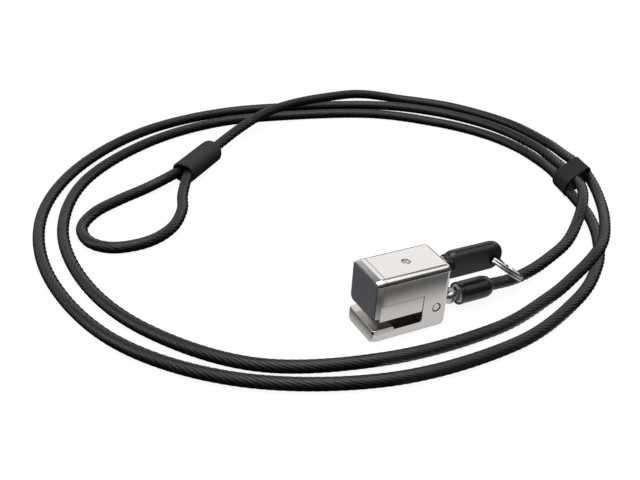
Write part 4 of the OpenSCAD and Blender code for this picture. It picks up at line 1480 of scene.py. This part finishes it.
@dataclass
class LockHead:
    """The head's casting, sliding jaw with its pad, lip, pins and lock cylinder.

    Sizes are in millimetres. The cap and the block are where they start and end, the jaw is its
    end, foot and top, and the lip is its start, end, foot and top. A pin is its place on two axes
    and its radius. A step of a bore is its radius and its end.
    """

    length: float = 28.0
    width: float = 16.0
    height: float = 23.4
    edge: float = 2.0
    rear_edge: float = 1.85
    front_edge: float = 0.9
    lead: tuple[float, float] = (2.1, 0.35)
    cap: tuple[float, float] = (-13.75, -10.5)
    block: tuple[float, float] = (-10.35, 14.2)
    column: float = 4.25
    foot: float = 4.15
    inner_r: float = 1.0
    jaw: tuple[float, float, float] = (4.0, 8.3, 14.05)
    jaw_set_back: float = 1.6
    jaw_corner: float = 0.12
    soft_edge: float = 0.25
    lip: tuple[float, float, float, float] = (-14.0, -6.3, 3.65, 5.15)
    lip_corners: tuple[float, float, float, float] = (0.05, 0.05, 0.95, 0.95)
    lip_edge: float = 0.3
    rim: float = 0.6
    pad_r: float = 1.7
    pocket: float = -12.55
    latch_room: tuple[float, float] = (3.55, -5.2)
    throat: tuple[float, float] = (2.8, -1.4)
    barrel_r: float = 3.6
    barrel_bore: float = 2.55
    barrel_back: float = 0.3
    boss: tuple[float, float] = (3.4, -5.5)
    boss_bore: tuple[float, float] = (2.85, -7.0)
    boss_chamfer: float = 0.2
    latch_slot: tuple[float, float] = (1.8, 5.5)
    sleeve: tuple[float, float] = (1.6, -2.1)
    sleeve_bore: tuple[float, float] = (1.3, -3.3)
    sleeve_chamfer: float = 0.1
    screw_hole: float = 0.8
    guides: tuple[float, float] = (5.6, 20.6)
    guide_bore: tuple[tuple[float, float], tuple[float, float]] = ((1.65, 4.5), (0.75, 8.0))
    stud_bore: tuple[float, float] = (2.85, 8.5)
    top_pin: tuple[float, float, float] = (1.0, 0.0, 1.25)
    top_pin_foot: float = 21.2
    top_pin_room: float = 20.0
    centre_mark: tuple[float, float, float] = (0.62, 0.4, 0.3)
    side_pin: tuple[float, float, float] = (9.5, 8.35, 1.3)
    side_pin_stop: float = 2.0
    pin_chamfers: tuple[float, float] = (0.15, 0.12)
    ring: tuple[float, float] = (0.35, 0.3)
    sunk: float = 0.12
    painted_shadow_edge: tuple[float, float, float] = (1.2, 1.6, 1.15)
    under_shade_start: float = -4.0

    FINISHES = {
        "pin_block": BRASS, "driver_pins": PIN_STEEL, "pin_springs": BRIGHT_STEEL,
        "guide_screws": BRIGHT_STEEL, "return_springs": BRIGHT_STEEL, "rotor": BRASS,
        "tumbler_pins": BRASS, "tail_bar": PIN_STEEL}

    def front_rows(self, start: float, end: float) -> np.ndarray:
        """Rows of the tapered front, closer together at the front face.

        At depth d behind the front face, every side is drawn in by the lead's depth times 1 less d
        over its length, and the upright sides also by a quarter circle, whichever is more.

        Args:
            start: the first row's place on X.
            end: the last row's place on X.

        Returns:
            Rows of place, sideways inset and upward inset.
        """
        x = start + (end - start) * np.linspace(0, 1, 26) ** 1.8
        deep = x + self.length / 2
        lead_l, lead_in = self.lead
        taper = lead_in * np.clip(1 - deep / lead_l, 0, 1)
        left = np.clip(self.front_edge - deep, 0, self.front_edge)
        side = self.front_edge - np.sqrt(self.front_edge**2 - left**2)
        return np.stack([x, np.maximum(side, taper), taper], axis=1)

    def housing(self) -> bpy.types.Object:
        """Makes the casting, and cuts the jaw's space, the slot, the bores and the pin holes."""
        wide, half, top = self.width / 2, self.length / 2, self.height
        outline = Outline.block((-wide, 0), (wide, top), (self.edge,) * 4, 14)
        rows = np.vstack([self.front_rows(-half, 0), quarter(half, self.rear_edge, -1, 10)])
        piece = solid("head_casting", carried(outline, rows, Along.X))
        ahead, behind, left, right = -half - PAST, half + PAST, -wide - PAST, wide + PAST
        slot = Outline.block((ahead, self.foot), (self.column, self.block[1]),
                             (self.inner_r, CRISP, CRISP, CRISP))
        (px, py, pr), (sx, sz, sr) = self.top_pin, self.side_pin
        face = self.block[0] - HAIR
        gy, gz = self.guides
        ring, deep = self.ring
        stud_r, stud_l = self.stud_bore
        cut(piece,
            brick((ahead, left, self.foot), (self.block[0], right, top + PAST)),
            prism(slot, left, right, Along.Y),
            brick((ahead, left, self.lip[2]), (self.lip[1], right, self.foot + LAP)),
            stepped(face, (self.latch_room, self.throat, (self.barrel_r, behind)), KEY_AXIS),
            stepped(face, self.guide_bore, (gy, gz)), stepped(face, self.guide_bore, (-gy, gz)),
            rod(self.top_pin_room, top + PAST, pr, (px, py), Along.Z),
            rod(top - deep, top + PAST, pr + ring, (px, py), Along.Z),
            rod(left, wide - self.side_pin_stop, sr, (sx, sz), Along.Y),
            rod(left, deep - wide, sr + ring, (sx, sz), Along.Y),
            rod(half - stud_l, behind, stud_r, STUD_AXIS))
        place(piece, NICKEL, "housing", "nickel_housing", "casting")
        top_reach, side_reach = pr + ring + LAP / 2, sr + ring + LAP / 2
        edge_x, edge_y, edge_z = self.painted_shadow_edge
        for low, high, finish in (
                # Painted shade inside the slot and round the side pin, in dark steel, and round the top
                # pin, in a darker copy of the nickel
                ((self.lip[1] + SKIN, LAP - wide, self.foot - LAP),
                 (self.column + LAP, wide - LAP, self.jaw[1] + SKIN), PAINTED_SHADE_STEEL),
                ((sx - side_reach, HAIR - wide, sz - side_reach),
                 (sx + side_reach, SKIN - wide, sz + side_reach), PAINTED_SHADE_STEEL),
                ((px - top_reach, py - top_reach, top - SKIN),
                 (px + top_reach, py + top_reach, top - HAIR), PAINTED_SHADE_NICKEL),
                # The front of the foot in the lip's nickel, and a painted contact shadow in dark steel
                # along the lower edge of each side
                ((ahead, left, 2 * LAP), (CRISP - half, right, self.foot), LIP_NICKEL),
                ((edge_x - half, left, -PAST), (behind, edge_y - wide, edge_z), PAINTED_SHADE_STEEL),
                ((edge_x - half, wide - edge_y, -PAST), (behind, right, edge_z), PAINTED_SHADE_STEEL)):
            line_faces(piece, low, high, finish)
        return piece

    def foot_lip(self) -> bpy.types.Object:
        """Makes the raised plate on the foot, with a fine round along its upper edge."""
        wide = self.width / 2 - CRISP
        x0, x1, z0, z1 = self.lip
        plan = Outline.block((x0 + CRISP, -wide), (x1, wide), self.lip_corners)
        rows = np.vstack([[[z0, 0, 0]], quarter(z1, self.lip_edge, -1)])
        piece = solid("foot_plate", carried(plan, rows, Along.Z))
        return place(piece, LIP_NICKEL, "foot_lip", "nickel_lip", "plate on the foot")

    def latch_boss(self, root: float) -> bpy.types.Object:
        """Makes the cup behind the cap, with a slotted floor that the tail bar's head catches."""
        (r, end), (bore, floor), chamfer = self.boss, self.boss_bore, self.boss_chamfer
        profile = np.array([
            [end, 0], [end, r - chamfer], [end - chamfer, r], [root, r], [root, bore], [floor, bore],
            [floor, 0]])
        piece = solid("boss", turned(profile, KEY_AXIS))
        (wide, tall), (y, z) = self.latch_slot, KEY_AXIS
        cut(piece, brick((floor - PAST, y - wide / 2, z - tall / 2),
                         (end + PAST, y + wide / 2, z + tall / 2)))
        return piece

    def guide_sleeve(self, root: float, y: float) -> bpy.types.Object:
        """Makes a sleeve that slides in the block, with a floor that stops on its screw's head."""
        (r, end), (bore, floor), chamfer = self.sleeve, self.sleeve_bore, self.sleeve_chamfer
        profile = np.array([
            [root, bore], [root, r], [end - chamfer, r], [end, r - chamfer], [end, self.screw_hole],
            [floor, self.screw_hole], [floor, bore]])
        return solid("sleeve", turned(profile, (y, self.guides[1])))

    def jaw_slider(self) -> bpy.types.Object:
        """Makes the cap and its jaw, and the latch boss and guide sleeves behind the cap."""
        wide, (front, back), (end, low, high) = self.width / 2, self.cap, self.jaw
        outline = Outline.block((-wide, low), (wide, self.height), (self.edge,) * 4, 14)
        piece = solid("sliding_cap", carried(outline, self.front_rows(front, back), Along.X))
        cut(piece, prism(self.pad_outline(), front - PAST, self.pocket, Along.X))
        # A hair bigger than the cap, so that no two faces lie in one plane
        tongue = Outline.block((-wide - HAIR, low - HAIR), (wide + HAIR, high), (self.jaw_corner,) * 4, 4)
        rows = ends_rounded(front + self.jaw_set_back, end, self.soft_edge, self.jaw_corner)
        root = back - LAP
        add(piece, solid("jaw_block", carried(tongue, rows, Along.X)), self.latch_boss(root),
            *(self.guide_sleeve(root, side * self.guides[0]) for side in (-1, 1)))
        place(piece, CAP_NICKEL, "jaw_slider", "nickel_jaw", "cap, jaw, boss and sleeves")
        # Painted shade on the jaw's underside, and a painted dark reflection down the cap's upright front
        # edges
        thin, inset = LAP / 2, 2 * LAP
        line_faces(piece, (self.under_shade_start, inset - wide, low - thin),
                   (end - thin, wide - inset, low + thin), PAINTED_SHADE_STEEL)
        for side in (-1, 1):
            near, far = sorted((side * (wide - self.front_edge / 2), side * (wide + LAP)))
            line_faces(piece, (front - LAP, near, low + inset),
                       (back - 2 * inset, far, self.height - self.edge), PAINTED_SHADE_NICKEL)
        return piece

    def pad_outline(self) -> Outline:
        """Outline of the push pad, a rim's width inside the cap."""
        wide, rim = self.width / 2 - self.rim, self.rim
        return Outline.block((-wide, self.jaw[1] + rim), (wide, self.height - rim), (self.pad_r,) * 4)

    def push_pad(self) -> bpy.types.Object:
        """Makes the insert with its rounded border."""
        rows = np.vstack([quarter(-self.length / 2, self.soft_edge, 1), [[self.pocket, 0, 0]]])
        piece = solid("slate_pad", carried(self.pad_outline(), rows, Along.X))
        return place(piece, SLATE, "push_pad", "pad_slate", "insert")

    def pins(self) -> None:
        """Makes the two cross pins, each with a cut edge, and a centre mark in the upper one."""
        (px, py, pr), (sx, sz, sr) = self.top_pin, self.side_pin
        top, foot = self.height - self.sunk, self.top_pin_foot
        upper, side = self.pin_chamfers
        mark_r, mark_foot, deep = self.centre_mark
        profile = np.array([
            [foot, 0], [foot, pr], [top - upper, pr], [top, pr - upper], [top, mark_r],
            [top - deep, mark_foot], [top - deep, 0]])
        piece = solid("upper_pin", turned(profile, (px, py), Along.Z))
        place(piece, PIN_STEEL, "top_pin", "pin_steel", "upper pin")
        wide = self.width / 2
        shape = chamfered(self.sunk - wide, wide - self.side_pin_stop, sr, side, (sx, sz))
        place(solid("cross_pin", shape), NICKEL, "side_pin", "pin_steel", "cross pin")

    def cylinder(self) -> bpy.types.Object:
        """Makes the lock cylinder's tube, with the upper pin's seat cut into it."""
        inner, outer, start = self.barrel_bore, self.barrel_r, self.throat[1]
        face, (chamfer, _), back = self.length / 2 - self.barrel_back, self.pin_chamfers, 0.2
        profile = np.array([
            [start, inner], [start, outer], [face - chamfer, outer], [face, outer - chamfer],
            [face, inner + back], [face - back, inner]])
        piece = solid("cylinder_tube", turned(profile, KEY_AXIS))
        px, py, pr = self.top_pin
        cut(piece, rod(self.top_pin_foot, self.height, pr, (px, py), Along.Z))
        return place(piece, BRASS, "lock_barrel", "cylinder_brass", "lock cylinder")

    def build(self) -> None:
        """Makes the head's pieces and dresses the nodes inside it."""
        self.housing()
        self.foot_lip()
        self.jaw_slider()
        self.push_pad()
        self.pins()
        self.cylinder()
        for node, finish in self.FINISHES.items():
            dress_node(node, finish)


def main() -> None:
    """Makes the studio and every sub-assembly."""
    logging.basicConfig(level=logging.INFO, format="%(message)s")
    Studio().build()
    cable = Cable()
    jacket = cable.build()
    strap = Strap().build()
    boot = CableEnd().build()
    eye = EyeEnd().build()
    cable.declare()
    Key().build()
    LockHead().build()


if __name__ == "__main__":
    main()
